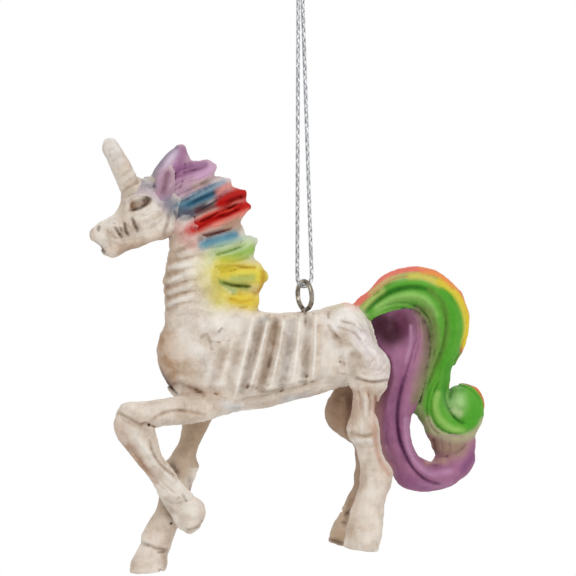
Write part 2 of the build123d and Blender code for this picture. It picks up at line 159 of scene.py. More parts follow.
@dataclass(frozen=True)
class SideView:
    """The turned and raised side view in which the figure was measured."""

    seat_px: Pixel = (305.0, 313.0)
    seat_z: float = -74.85
    pixel: float = 100.0 / 436.0
    turn: float = 20.0
    raised: float = 8.0
    roll: float = 0.86

    def angles(self) -> tuple[float, float, float, float, float]:
        """Returns the sine and cosine of the turn and the rise, and the tangent of the roll."""
        turn, rise, roll = (math.radians(a) for a in (self.turn, self.raised, self.roll))
        return math.sin(turn), math.cos(turn), math.sin(rise), math.cos(rise), math.tan(roll)

    def seen(self, px: Array, py: Array, side: Array) -> Array:
        """Returns the points of the planes y = side that the view shows at pixels."""
        ts, tc, rs, rc, roll = self.angles()
        dx, dy = px - self.seat_px[0], py - self.seat_px[1]
        right, up = (dx - dy * roll) * self.pixel, -(dy + dx * roll) * self.pixel
        x = (right + ts * side) / tc
        z = (up - rs * (ts * x + tc * side)) / rc
        return np.stack([x, side + 0 * x, self.seat_z + z], axis=-1)

    def shown(self, points: Array, middle: Array | float) -> tuple[Array, Array]:
        """Returns the pixels where points show, those beyond the middle plane mirrored to this side."""
        ts, tc, rs, rc, roll = self.angles()
        x, z = points[..., 0], points[..., 2] - self.seat_z
        y = middle - np.abs(points[..., 1] - middle)
        right = (tc * x - ts * y) / self.pixel
        down = -(rs * (ts * x + tc * y) + rc * z) / self.pixel
        scale = 1 + roll**2
        return (
            self.seat_px[0] + (right + roll * down) / scale,
            self.seat_px[1] + (down - roll * right) / scale,
        )


VIEW = SideView()


# What a casting is made of


class Region(Enum):
    """The part of the figure that a form, a carved line or a spray belongs to."""

    BODY = "body"
    NECK = "neck"
    HEAD = "head"
    HORN = "horn"
    EARS = "ears"
    MANE = "mane"
    NEAR_FORE = "near foreleg"
    FAR_FORE = "far foreleg"
    NEAR_HIND = "near hind leg"
    FAR_HIND = "far hind leg"
    TAIL = "green tail"
    RIM = "tail rim"
    PURPLE = "purple tail"


@dataclass
class Form:
    """A smooth form: ovals on pairs of outline pixels, the way the frame's solids are drawn."""

    node: str
    region: Region
    rows: list[Row]
    width: float
    shares: list[float]
    sides: list[float] | None = None
    blend: float = 0.8
    ends: tuple[float, float] = (0.4, 0.4)
    strands: tuple[float, ...] = ()
    strand_depth: float = 0.3

    least_half: float = 0.4
    around: int = 40
    per_span: int = 7

    DOME_ANGLES = (25, 50, 72, 89.9)
    THINNEST = 0.05
    STRAND_WIDTH = 1.15
    STRAND_SWAY = 0.035
    SWAY_STEP = 1.7

    def stations(self) -> Array:
        """Returns a row for each oval: centre, half the oval's height as a vector, half its width."""
        rows = np.array(self.rows, float)
        sides = np.zeros(len(rows)) if self.sides is None else np.array(self.sides, float)
        a = VIEW.seen(rows[:, 0], rows[:, 1], sides)
        b = VIEW.seen(rows[:, 2], rows[:, 3], sides)
        half_width = self.width * np.array(self.shares) / 2
        ts, tc, rs, _, _ = VIEW.angles()
        step = np.stack([rows[:, 2] - rows[:, 0], rows[:, 1] - rows[:, 3]], axis=1)
        shown = np.linalg.norm(step, axis=1) * VIEW.pixel / 2
        unit = step / np.linalg.norm(step, axis=1)[:, None]
        added = half_width * np.abs(rs * tc * unit[:, 1] - ts * unit[:, 0])
        left = np.maximum(shown**2 - added**2, (self.least_half * shown) ** 2)
        half = (b - a) / 2 * (np.sqrt(left) / shown)[:, None]
        return np.hstack([(a + b) / 2, half, half_width[:, None]])

    def surface(self) -> tuple[Array, Array]:
        """Works out the form as a surface of two parameters.

        The point at station t and angle v is centre(t) + cos v * half(t) + sin v * width(t) * Y,
        with each of the three carried through the stations by a cubic. The ends close in domes:
        rings that shrink with the cosine of an angle and move out with its sine.

        Returns:
            The points and the quads.
        """
        line = spline_through(self.stations(), self.per_span, self.stations()[:, :3])
        centre, half, width = line[:, :3], line[:, 3:6], np.maximum(line[:, 6:], self.THINNEST)
        angle = np.linspace(0, math.tau, self.around, endpoint=False)[None, :, None]
        rings = half[:, None] * np.cos(angle) + width[:, None] * np.sin(angle) * np.array([0, 1, 0])
        lift = np.radians(self.DOME_ANGLES)[:, None, None]
        caps = []
        for end, out, dome in zip((0, -1), (centre[0] - centre[1], centre[-1] - centre[-2]), self.ends):
            height = dome * min(np.linalg.norm(half[end]), float(width[end, 0]))
            move = out / np.linalg.norm(out) * height
            caps.append(centre[end] + rings[end][None] * np.cos(lift) + move * np.sin(lift))
        points = np.concatenate([caps[0][::-1], centre[:, None] + rings, caps[1]])
        return points.reshape(-1, 3), grid_quads(len(points), self.around)

    def carved_strands(self) -> list["Cut"]:
        """Returns the grooves between strands, which run along the form at shares of its height."""
        rows = np.array(self.rows, float)
        bend = np.sin(np.arange(len(rows)) * self.SWAY_STEP)
        cuts = []
        for number, share in enumerate(self.strands):
            place = share + self.STRAND_SWAY * bend * (-1) ** number
            path = rows[:, :2] + (rows[:, 2:] - rows[:, :2]) * place[:, None]
            cuts.append(Cut((self.region,), self.STRAND_WIDTH, self.strand_depth, [tuple(p) for p in path]))
        return cuts


def grid_quads(rings: int, around: int) -> Array:
    """Returns the quads of a grid that closes on itself around and is open along."""
    ring = np.arange(rings - 1)[:, None] * around
    here = np.arange(around)[None]
    after = (here + 1) % around
    corners = [ring + here, ring + after, ring + around + after, ring + around + here]
    return np.stack(corners, axis=-1).reshape(-1, 4)


@dataclass
class Cut:
    """A line carved into the clay, or raised where its depth is negative.

    Width is in pixels of the side view and depth in millimetres. The profile across is
    exp(-(distance / width)^power), and it fades over a share of the line at both ends, or has
    round ends where the fade is 0. On the lower side of a line that goes right, the width is
    lean times as large, as where one fold of skin meets another.
    """

    regions: tuple[Region, ...]
    width: float
    depth: float
    points: list[Pixel]
    power: float = 2.0
    fade: float = 0.22
    lean: float = 1.0

    SOFT_REACH = 2.4
    STEEP_REACH = 1.5
    STEEP_POWER = 3
    FADE_START = -0.02

    def path(self) -> Array:
        """Returns the drawn line, smoothed where it has more than two points."""
        points = np.array(self.points, float)
        return spline_through(points, 5) if len(points) > 2 else points

    def reach(self) -> float:
        """Returns how far from the line the profile still counts, in pixels."""
        reach = self.SOFT_REACH if self.power < self.STEEP_POWER else self.STEEP_REACH
        return self.width * reach * max(self.lean, 1.0)

    def profile(self, distance: Array, share: Array, hand: Array) -> Array:
        """Returns the share of the depth at a distance, a share of the length and a side."""
        ends = ramp(np.minimum(share, 1 - share), self.FADE_START, self.fade) if self.fade else 1.0
        width = np.where(hand > 0, self.width * self.lean, self.width)
        return np.exp(-((distance / width) ** self.power)) * ends


@dataclass
class PaintAndLightSpray:
    """A soft pass of colour along a line: some passes are airbrushed paint, others painted shade and
    painted highlights.

    Its cover is strength * exp(-2.3 (distance / radius)^p), a tenth at the radius, where p grows
    from 2 with the core, so that a pass with a large core has a fuller middle and a harder edge.
    """

    regions: tuple[Region, ...]
    colour: str
    radius: float
    strength: float
    points: list[Pixel]
    core: float = 0.1

    def cover(self, distance: Array) -> Array:
        """Returns how much of the colour lies at a distance from the line."""
        return self.strength * np.exp(-2.3 * (distance / self.radius) ** (2 + 4 * self.core))

    def path(self) -> Array:
        """Returns the drawn line, smoothed; a single point becomes a very short line."""
        points = np.array(self.points, float)
        if len(points) == 1:
            points = np.vstack([points, points + 0.01])
        return spline_through(points, 5) if len(points) > 2 else points


def cuts(regions: Region | tuple[Region, ...], *rows: tuple) -> list[Cut]:
    """Returns carved lines from rows of width, depth, points and further values of a cut."""
    regions = regions if isinstance(regions, tuple) else (regions,)
    return [Cut(regions, *row) for row in rows]


def paint_and_light_sprays(regions: tuple[Region, ...], *rows: tuple) -> list[PaintAndLightSpray]:
    """Returns passes of paint, painted shade and highlight from rows of colour, radius, strength and points.
    """
    return [PaintAndLightSpray(regions, *row) for row in rows]


@dataclass
class SubAssembly:
    """A part of the figure with its forms, its carving, and its paint with painted shade and highlights."""

    def forms(self) -> list[Form]:
        """Returns the smooth forms."""
        return []

    def carving(self) -> list[Cut]:
        """Returns the carved and raised lines."""
        return []

    def paint_and_light(self) -> list[PaintAndLightSpray]:
        """Returns the passes of paint and of painted shade and highlight, first to last."""
        return []


# The sub-assemblies

HIP = (Region.BODY, Region.NEAR_HIND)
TORSO = (Region.BODY, Region.NECK, Region.NEAR_HIND, Region.NEAR_FORE)
BONE = "#E7DACB"
# painted shade: the bone's colour darkened, the base of the far legs
SHADED_FAR_BONE = "#C0AC97"


@dataclass
class Trunk(SubAssembly):
    """Chest and barrel with ribs and breastbone, and the pelvis behind them."""

    width: float = 16.4
    rib_height: float = 0.5
    hollow_depth: float = 0.5

    def forms(self) -> list[Form]:
        """Returns the barrel and the pelvis."""
        barrel = [
            (159.5, 345, 159.5, 357), (162, 337, 162.5, 370), (168.5, 328.5, 169, 387),
            (178, 320, 178, 398), (196, 313, 192, 406), (220, 311, 204, 411), (238, 312, 219, 412),
            (254, 312, 236, 411), (270, 313, 255, 409), (286, 313, 275, 405), (302, 312, 297, 399),
            (316, 311, 315, 395), (331, 308, 333, 389),
        ]
        barrel_shares = [0.18, 0.38, 0.54, 0.68, 0.8, 0.88, 0.93, 0.97, 1.0, 1.01, 1.0, 0.98, 0.92]
        pelvis = [
            (331, 308, 333, 389), (341, 304, 345, 387), (350, 303, 354, 384), (359, 311, 361, 378),
            (366, 323, 367, 370), (371, 338, 371, 356),
        ]
        return [
            Form("chest_and_barrel", Region.BODY, barrel, self.width, barrel_shares, blend=0.0),
            Form("pelvis", Region.BODY, pelvis, self.width, [0.92, 0.96, 0.94, 0.82, 0.6, 0.25], blend=1.2),
        ]

    def ribs(self) -> list[Cut]:
        """Returns the rib ridges and the hollows between them."""
        ridges = [
            [(228, 322), (221, 352), (210, 382)],
            [(238, 316), (231, 350), (220, 388)],
            [(253, 317), (245.5, 352), (235, 398)],
            [(268, 319), (260.5, 352), (250, 390)],
            [(284, 319), (279, 350), (271, 387)],
            [(300, 318), (297, 350), (293, 382)],
            [(315.5, 316), (315, 350), (313, 380)],
        ]
        hollows = [
            (2.2, 0.35, [(233, 322), (226, 350), (216, 382)]),
            (3.6, 0.45, [(246, 319), (238.5, 352), (228, 392)]),
            (4.4, 0.9, [(261, 320), (253, 352), (243, 391)]),
            (4.6, 1.15, [(276, 321), (270, 352), (261, 388)]),
            (4.8, 1.05, [(292, 321), (288, 352), (282, 384)]),
            (4.2, 1.0, [(308, 319), (306.5, 350), (304, 380)]),
        ]
        heights = [0.2, 0.3, 0.5, 0.8, 1.0, 0.9, 0.9]
        raised = [(1.5, -self.rib_height * h, ridge, 2.4, 0.12) for h, ridge in zip(heights, ridges)]
        sunk = [(w, self.hollow_depth * d, line, 4.0, 0.1) for w, d, line in hollows]
        streaks = [
            (0.7, 0.13, [(256 + 5.3 * k, 324 + (k % 3) * 5), (251.5 + 5.2 * k, 350),
             (245 + 5.0 * k, 378 - (k % 2) * 6)])
            for k in range(12)
        ]
        return cuts(Region.BODY, *raised, *sunk, *streaks)

    def carving(self) -> list[Cut]:
        """Returns the lines of the chest, the spine, the breastbone and the hips."""
        chest = [
            (1.5, 0.5, [(160, 369), (164, 377), (170, 385), (176, 392)]),
            (1.3, 0.22, [(171, 383), (181, 383), (192, 387), (204, 392)], 2.0, 0.3, 2.0),
            (2.4, -0.35, [(174, 379), (186, 379), (198, 384)]),
            (1.0, 0.3, [(168, 374), (171, 381), (176, 388)]),
            (1.2, 0.4, [(164, 327), (170, 321), (178, 318), (188, 320)], 2.0, 0.22, 2.2),
            (2.6, -0.25, [(168, 330), (176, 324), (188, 323)]),
            (1.1, 0.3, [(167, 312), (167, 319), (164, 326)]),
            (1.0, 0.22, [(202, 338), (206, 334), (210, 337), (210, 345), (212, 350), (216, 345), (221, 343)]),
            (0.9, 0.16, [(201, 341), (203, 346), (208, 348)]),
            (0.9, 0.18, [(209, 350), (211, 355), (217, 352)]),
            (5.0, -0.35, [(196, 345), (205, 358), (212, 372)]),
            (6.0, 0.35, [(212, 330), (220, 352), (222, 366)]),
            (5.0, 0.3, [(184, 330), (182, 345), (188, 362)]),
            (0.9, 0.14, [(216, 358), (213, 368), (216, 376)]),
            (0.9, 0.16, [(231, 366), (230, 372), (229, 380)]),
            (0.8, 0.12, [(234, 345), (231, 356), (229, 366)]),
            (3.0, 0.35, [(196, 392), (208, 396), (222, 392)]),
            (1.0, 0.15, [(222, 314), (218, 330), (220, 346)]),
        ]
        knobs = [(262, 317), (277, 318), (291, 317.5), (306, 316), (321, 315)]
        spine = [(2.8, -0.3, [(x - 2, y), (x + 3, y - 1)], 2.0, 0.1) for x, y in knobs]
        spine += [(1.3, 0.28, [(x + 7, y - 3), (x + 7.5, y + 4)], 2.0, 0.1) for x, y in knobs]
        pits = [
            (247, 387), (252, 382), (255, 389), (263, 391), (267, 386), (272, 391), (279, 386), (281, 391),
            (287, 382), (291, 385), (299, 382), (304, 384), (306, 377), (311, 382),
        ]
        breastbone = [
            (1.2, 0.2, [(232, 404), (248, 398), (266, 395), (288, 389), (304, 385), (322, 379)]),
            (4.0, -0.32, [(232, 407), (262, 403), (290, 396), (322, 388)], 2.6, 0.1),
            (2.2, -0.22, [(248, 392), (268, 388), (290, 383), (312, 379)], 2.4, 0.1),
            *[(1.1, 0.26, [(x, y), (x + 2, y - 1)], 2.0, 0.0) for x, y in pits],
            (0.9, 0.15, [(246, 405), (270, 403), (298, 395), (320, 388)]),
        ]
        loin = [
            (3.0, -0.3, [(323, 320), (323, 350), (324, 372)]),
            (2.8, 0.22, [(329, 330), (330, 350), (331, 372)]),
            (1.3, 0.3, [(305, 315), (305.5, 321), (305, 328)]),
            (0.9, 0.2, [(339.5, 362), (340.5, 362)], 2.0, 0.0),
            (0.9, 0.18, [(330, 308), (334, 304), (340, 305)]),
            (6.0, 0.4, [(334, 340), (340, 356), (352, 368)]),
            (1.0, 0.18, [(320, 384), (336, 383), (348, 380)]),
            (0.9, 0.15, [(334, 372), (344, 374), (352, 371)]),
        ]
        hips = [
            (5.0, -0.75, [(337, 317), (344, 313), (352, 319), (357, 327)], 2.6, 0.0),
            (6.0, -0.55, [(358, 328), (366, 340), (376, 353), (384, 365)], 2.6, 0.0),
            (5.5, 0.5, [(330, 330), (340, 342), (352, 350), (360, 362)], 2.0, 0.3),
            (1.2, 0.22, [(330, 322), (333, 331), (339, 338), (348, 342), (357, 350)], 2.0, 0.4),
            (0.9, 0.18, [(341, 321), (347, 323), (352, 323)], 2.0, 0.3),
            (0.9, 0.18, [(338, 327), (344, 329), (352, 330)], 2.0, 0.3),
            (0.9, 0.16, [(345, 315), (350, 316), (355, 320)], 2.0, 0.3),
            (0.9, 0.14, [(352, 308), (357, 313), (361, 320)], 2.0, 0.3),
        ]
        return cuts(Region.BODY, *chest, *spine, *breastbone, *loin) + cuts(HIP, *hips) + self.ribs()

    def paint_and_light(self) -> list[PaintAndLightSpray]:
        """Returns the tan of the chest and the tints of the rump, with painted shade in the creases and
        between the ribs, and painted highlights on the ribs, the belly and the hip.
        """
        body = TORSO
        tan_shade_and_highlights = paint_and_light_sprays(
            body,
            ("#BC9878", 19, 0.95, [(165, 340), (168, 356), (175, 371)]),
            ("#C2A78D", 12, 0.5, [(176, 352), (184, 366)]),
            ("#C7AF98", 12, 0.6, [(190, 388), (214, 394)]),
            ("#CDB9A2", 12, 0.5, [(186, 368), (200, 380)]),
            # painted highlights: pale patches on the raised chest and on top of the shoulder
            ("#F1EBE3", 11, 0.7, [(200, 350), (208, 366), (216, 380)]),
            ("#F4EDE4", 19, 0.8, [(194, 324), (222, 330)]),
            # painted shade: darker tan in the chest's creases, and grey-brown in the hollows between the ribs
            ("#C9B39C", 6, 0.7, [(168, 324), (163, 332)]),
            ("#C6B39F", 7, 0.5, [(212, 334), (206, 345)]),
            ("#B9A592", 7, 0.6, [(222, 350), (218, 372), (212, 386)]),
            ("#B5A798", 6, 0.5, [(247, 322), (239, 350), (229, 388)]),
            ("#AA9D91", 7.0, 0.8, [(261, 322), (253, 352), (243, 390)]),
            ("#A38D78", 7.0, 0.85, [(276, 322), (270, 352), (261, 388)]),
            ("#ADA39B", 7.5, 0.8, [(292, 323), (288, 352), (282, 384)]),
            ("#A99B8D", 6.0, 0.75, [(308, 320), (306.5, 350), (304, 380)]),
            ("#E9E3DB", 11, 0.6, [(332, 340), (342, 356)]),
            # painted shade in the hollow under the hip and along the crease of the flank
            ("#CBBEB1", 9, 0.5, [(352, 358), (350, 374)]),
            ("#CDBFB0", 8, 0.5, [(322, 376), (340, 382)]),
        )
        # painted highlights along the rib ridges
        ridges = paint_and_light_sprays(
            body,
            *[("#F6EEE2", 2.1, 0.9, line) for line in (
                [(253, 318), (245.5, 352), (235, 396)],
                [(268, 320), (260.5, 352), (250, 388)],
                [(284, 321), (279, 350), (271, 386)],
                [(300, 319), (297, 350), (293, 380)],
                [(315.5, 317), (315, 350), (313, 378)],
            )],
            ("#F1E8DC", 3.0, 0.6, [(238, 318), (231, 350), (220, 386)]),
        )
        spots_shade_and_highlights = paint_and_light_sprays(
            body,
            # painted shade: dark lines in the creases under and at the front of the chest
            ("#7C5F4B", 4.4, 0.8, [(159, 368), (164, 377), (171, 386)]),
            ("#4A3527", 2.3, 0.9, [(160, 371), (165, 379), (172, 388), (177, 393)]),
            ("#A58B75", 3.8, 0.6, [(174, 384), (188, 387), (204, 394)]),
            ("#8A7260", 2.0, 0.5, [(173, 383.5), (188, 386), (203, 393)]),
            ("#A58F7B", 2.6, 0.6, [(202, 337), (206, 334), (210, 340), (212, 349)]),
            ("#7A6655", 2.4, 0.7, [(276, 323)]),
            ("#8D8780", 5, 0.7, [(262, 321), (266, 319)]),
            ("#7A6553", 2.4, 0.7, [(269, 366), (271, 358)]),
            # painted highlights along the belly's edge
            ("#E9E5E2", 8, 0.6, [(224, 404), (240, 407)]),
            ("#D3D7DB", 5, 0.45, [(226, 406), (236, 408)]),
            ("#D6D8DB", 5, 0.6, [(284, 400), (306, 395)]),
            # painted shade along the breastbone and in its pits
            ("#B8A593", 3.6, 0.5, [(236, 402), (262, 396), (290, 389), (318, 381)]),
            ("#86715F", 2.0, 0.5, [(262, 392), (272, 391), (283, 388)]),
            ("#86715F", 2.0, 0.5, [(299, 382), (306, 381)]),
            ("#A08B77", 5, 0.5, [(246, 386), (256, 388)]),
            ("#C0BC78", 8, 0.6, [(334, 305), (342, 305)]),
            ("#E9AE98", 9, 0.75, [(348, 304), (356, 305)]),
            # painted shade in the spine's groove and hole, and in small pits and creases
            ("#8B7562", 2.4, 0.5, [(305, 315), (305, 322)]),
            ("#3C2C22", 2.0, 0.9, [(305, 313)]),
            ("#6E6A66", 1.5, 0.6, [(340, 362)]),
            ("#6B5A4C", 1.6, 0.6, [(222, 328), (219, 332)]),
        )
        hips = paint_and_light_sprays(
            HIP,
            # painted highlights on the hip's bump and ridge, and painted shade in its grooves
            ("#FBF6F0", 13, 0.95, [(334, 324), (345, 317), (357, 328)], 0.3),
            ("#B8A48F", 3.4, 0.6, [(329, 326), (334, 335), (341, 342), (352, 346), (360, 357)]),
            ("#F8F0F2", 12, 0.95, [(360, 333), (369, 347), (382, 362)], 0.3),
            ("#B8A592", 2.0, 0.5, [(341, 321), (355, 325), (361, 331)]),
            ("#B8A592", 2.0, 0.5, [(338, 327), (354, 333), (360, 339)]),
        )
        return tan_shade_and_highlights + ridges + spots_shade_and_highlights + hips


@dataclass
class NeckAndHead(SubAssembly):
    """Ringed neck, skull with its jaw, horn and ears."""

    neck_width: float = 8.8
    skull_width: float = 8.8
    jaw_width: float = 6.2
    horn_width: float = 4.6
    ear_thickness: float = 2.4
    ear_spread: float = 8.4

    def forms(self) -> list[Form]:
        """Returns the neck, skull, jaw, horn and ears."""
        neck = [
            (170, 228, 190, 206), (171, 242, 204, 227), (168, 260, 217, 252), (163, 281, 229, 277),
            (165, 297, 241, 296), (165, 312, 254, 311), (167.5, 330, 262, 328), (169, 346, 260, 344),
        ]
        skull = [
            (93.5, 229, 94, 242.5), (97, 225, 98.5, 246.5), (102, 222, 104, 247), (109, 218.5, 112, 245),
            (119, 210, 123, 242), (124, 199, 137, 240), (134, 184, 150, 237), (150, 178, 161, 233),
            (164, 181, 171, 224), (177, 190, 179, 212),
        ]
        jaw = [
            (103, 249, 107, 256), (108, 244, 114, 258), (118, 238, 126, 252), (134, 234, 140, 247.5),
            (150, 226, 155, 240), (162, 214, 167, 236.5), (169, 212, 173, 226),
        ]
        horn = [
            (124, 199, 145, 188), (115.5, 179, 134.5, 170), (107.5, 160, 125, 152.5),
            (102.5, 148.5, 119, 143.5), (104.5, 141.5, 114.5, 139),
        ]
        left_ear = [
            (159, 199, 170, 196), (156, 190, 173, 187), (156, 181, 174, 178), (161, 173, 174, 170),
            (168, 167, 173, 165),
        ]
        right_ear = [(141, 194, 156, 192), (140, 185, 156, 184), (144, 178, 153, 177)]
        near = [-self.ear_spread / 2 * s for s in (0.85, 0.94, 1.0, 1.04, 1.06)]
        far = [self.ear_spread / 2 * s for s in (0.9, 1.0, 1.06)]
        return [
            Form("neck", Region.NECK, neck, self.neck_width, [0.8, 0.88, 0.98, 1.1, 1.22, 1.36, 1.46, 1.4],
                blend=3.0),
            Form("skull", Region.HEAD, skull, self.skull_width,
                [0.44, 0.54, 0.58, 0.62, 0.74, 0.92, 1.0, 0.98, 0.85, 0.45], blend=1.2, ends=(0.3, 0.4)),
            Form("jaw", Region.HEAD, jaw, self.jaw_width, [0.4, 0.62, 0.78, 0.9, 1.0, 0.95, 0.5], blend=2.4),
            Form("horn", Region.HORN, horn, self.horn_width, [1.1, 0.86, 0.76, 0.7, 0.38], blend=1.4,
                ends=(0.3, 0.25)),
            Form("left_ear", Region.EARS, left_ear, self.ear_thickness, [0.9, 1.0, 1.0, 0.8, 0.4], near,
                blend=2.0),
            Form("right_ear", Region.EARS, right_ear, self.ear_thickness, [0.9, 1.0, 0.5], far, blend=0.7),
        ]

    def carving(self) -> list[Cut]:
        """Returns the neck rings, the sockets, the tooth marks and the horn's wrinkles."""
        rings = [
            [(167, 251), (180, 249), (192, 245), (204, 240)],
            [(165, 264), (177, 261), (191, 257), (206, 254)],
            [(163, 277), (176, 272), (190, 268), (207, 267)],
            [(162, 289), (176, 284), (190, 280), (207, 280)],
            [(163, 300), (176, 294.5), (192, 291), (209, 292)],
            [(163, 311), (175, 305), (188, 302), (202, 303)],
        ]
        folds = [(1.0, 0.26, ring, 2.0, 0.45, 2.8) for ring in rings]
        bulges = [(3.4, -0.24, [(x, y + 6) for x, y in ring], 2.4, 0.4) for ring in rings]
        wedges = [(2.6, 0.35, [(162, y), (172, y - 3)], 2.0, 0.3) for y in (264, 277, 289, 300, 312)]
        neck = cuts(
            Region.NECK,
            *folds,
            *bulges,
            *wedges,
            (1.0, 0.22, [(178, 236), (190, 230), (200, 226)]),
            (1.0, 0.16, [(184, 246), (196, 241), (206, 240)]),
            (0.9, 0.15, [(170, 258), (182, 255), (194, 251)]),
            (0.9, 0.15, [(170, 284), (184, 278), (196, 275)]),
            (0.9, 0.14, [(172, 318), (186, 314), (204, 318)]),
            (0.9, 0.12, [(190, 310), (206, 312), (222, 320)]),
        )
        head = cuts(
            Region.HEAD,
            (4.6, 1.0, [(135, 206), (140, 204.5), (145, 202.5)], 4.0, 0.0),
            (2.6, 0.5, [(146, 201.5), (150, 199.5)], 3.0, 0.0),
            (1.3, -0.35, [(127, 205), (129, 199), (137, 195.5), (146, 195.5), (153, 199)]),
            (2.0, -0.28, [(130, 213), (138, 212), (147, 208), (154, 202)]),
            (3.4, -0.35, [(126, 198), (131, 192), (139, 188), (148, 187), (157, 190)]),
            (0.9, 0.24, [(127, 197), (133, 191.5), (143, 190)]),
            (0.9, 0.24, [(137, 186), (146, 187.5), (156, 189)]),
            (1.0, 0.26, [(120, 194), (127, 190), (135, 186)]),
            (1.0, 0.22, [(123, 199), (129, 193), (134, 190)]),
            (2.6, -0.4, [(138, 222), (149, 217), (159, 211), (167, 207)]),
            (1.3, 0.24, [(142, 227), (152, 221), (161, 216), (167, 212)]),
            (0.8, 0.16, [(143, 217), (152, 214), (161, 211)]),
            (0.8, 0.16, [(146, 231), (156, 226), (165, 219)]),
            (0.8, 0.14, [(154, 202), (160, 206), (167, 206)]),
            (1.1, 0.28, [(173, 204), (171, 213), (169, 222), (166, 230)]),
            (1.0, 0.3, [(174, 211), (177, 220), (175, 230)]),
            (1.3, 0.4, [(133, 219), (134.5, 222), (134, 225), (137, 230)]),
            (0.9, 0.25, [(136, 226), (139, 231)]),
            (1.3, 0.4, [(125.5, 224), (127, 228), (126, 231), (130, 236)]),
            (1.1, 0.35, [(129, 225), (130, 230)]),
            (1.0, 0.35, [(121, 228), (123, 232)]),
            (1.2, 0.36, [(115, 227), (118, 230), (119, 233), (123, 236)]),
            (1.0, 0.3, [(113, 223), (117, 224.5)]),
            (1.0, 0.25, [(107.5, 229), (109.5, 233)]),
            (0.9, 0.25, [(112, 235), (116, 238), (120, 240)]),
            (1.8, -0.25, [(131, 224), (133, 230)]),
            (1.8, -0.25, [(121, 225), (123, 229)]),
            (1.6, -0.25, [(112, 229), (114, 233)]),
            (2.0, -0.25, [(140, 223), (143, 229)]),
            (1.3, 0.45, [(101, 226), (98.5, 229.5), (100.5, 232)]),
            (0.8, 0.18, [(92, 234), (94.5, 226.5), (101, 223.5)]),
            (1.3, 0.6, [(93, 242), (98, 244.5), (102, 247.5), (105, 252)]),
            (1.3, 0.2, [(105, 240), (111, 245), (111, 252)]),
            (1.4, 0.2, [(115, 243), (122, 246), (129, 244)]),
            (2.4, -0.2, [(100, 236), (112, 240), (122, 242)]),
            (0.8, 0.14, [(103, 222), (112, 217), (120, 212)]),
            (0.8, 0.14, [(122, 212), (124, 205), (126, 200)]),
        )
        horn = cuts(
            Region.HORN,
            (1.1, 0.28, [(117, 182), (125, 176), (134, 169)]),
            (1.1, 0.3, [(120, 188), (128, 182.5), (139, 175)]),
            (1.2, 0.32, [(121, 195), (130, 188), (143, 181)]),
            (1.0, 0.22, [(131, 170), (136, 176), (140, 183)]),
            (1.1, 0.16, [(114, 173), (121, 169), (130, 163)]),
            (1.1, 0.13, [(110, 164), (117, 160), (126, 154)]),
            (1.1, 0.1, [(107, 153), (113, 150), (121, 146)]),
        )
        ears = cuts(
            Region.EARS,
            (2.8, 0.42, [(168.5, 173), (167, 181), (164.5, 189)], 2.4, 0.0),
            (0.9, 0.2, [(171, 176), (170, 187)]),
            (2.2, 0.35, [(148, 182), (149, 188)]),
        )
        return neck + head + horn + ears

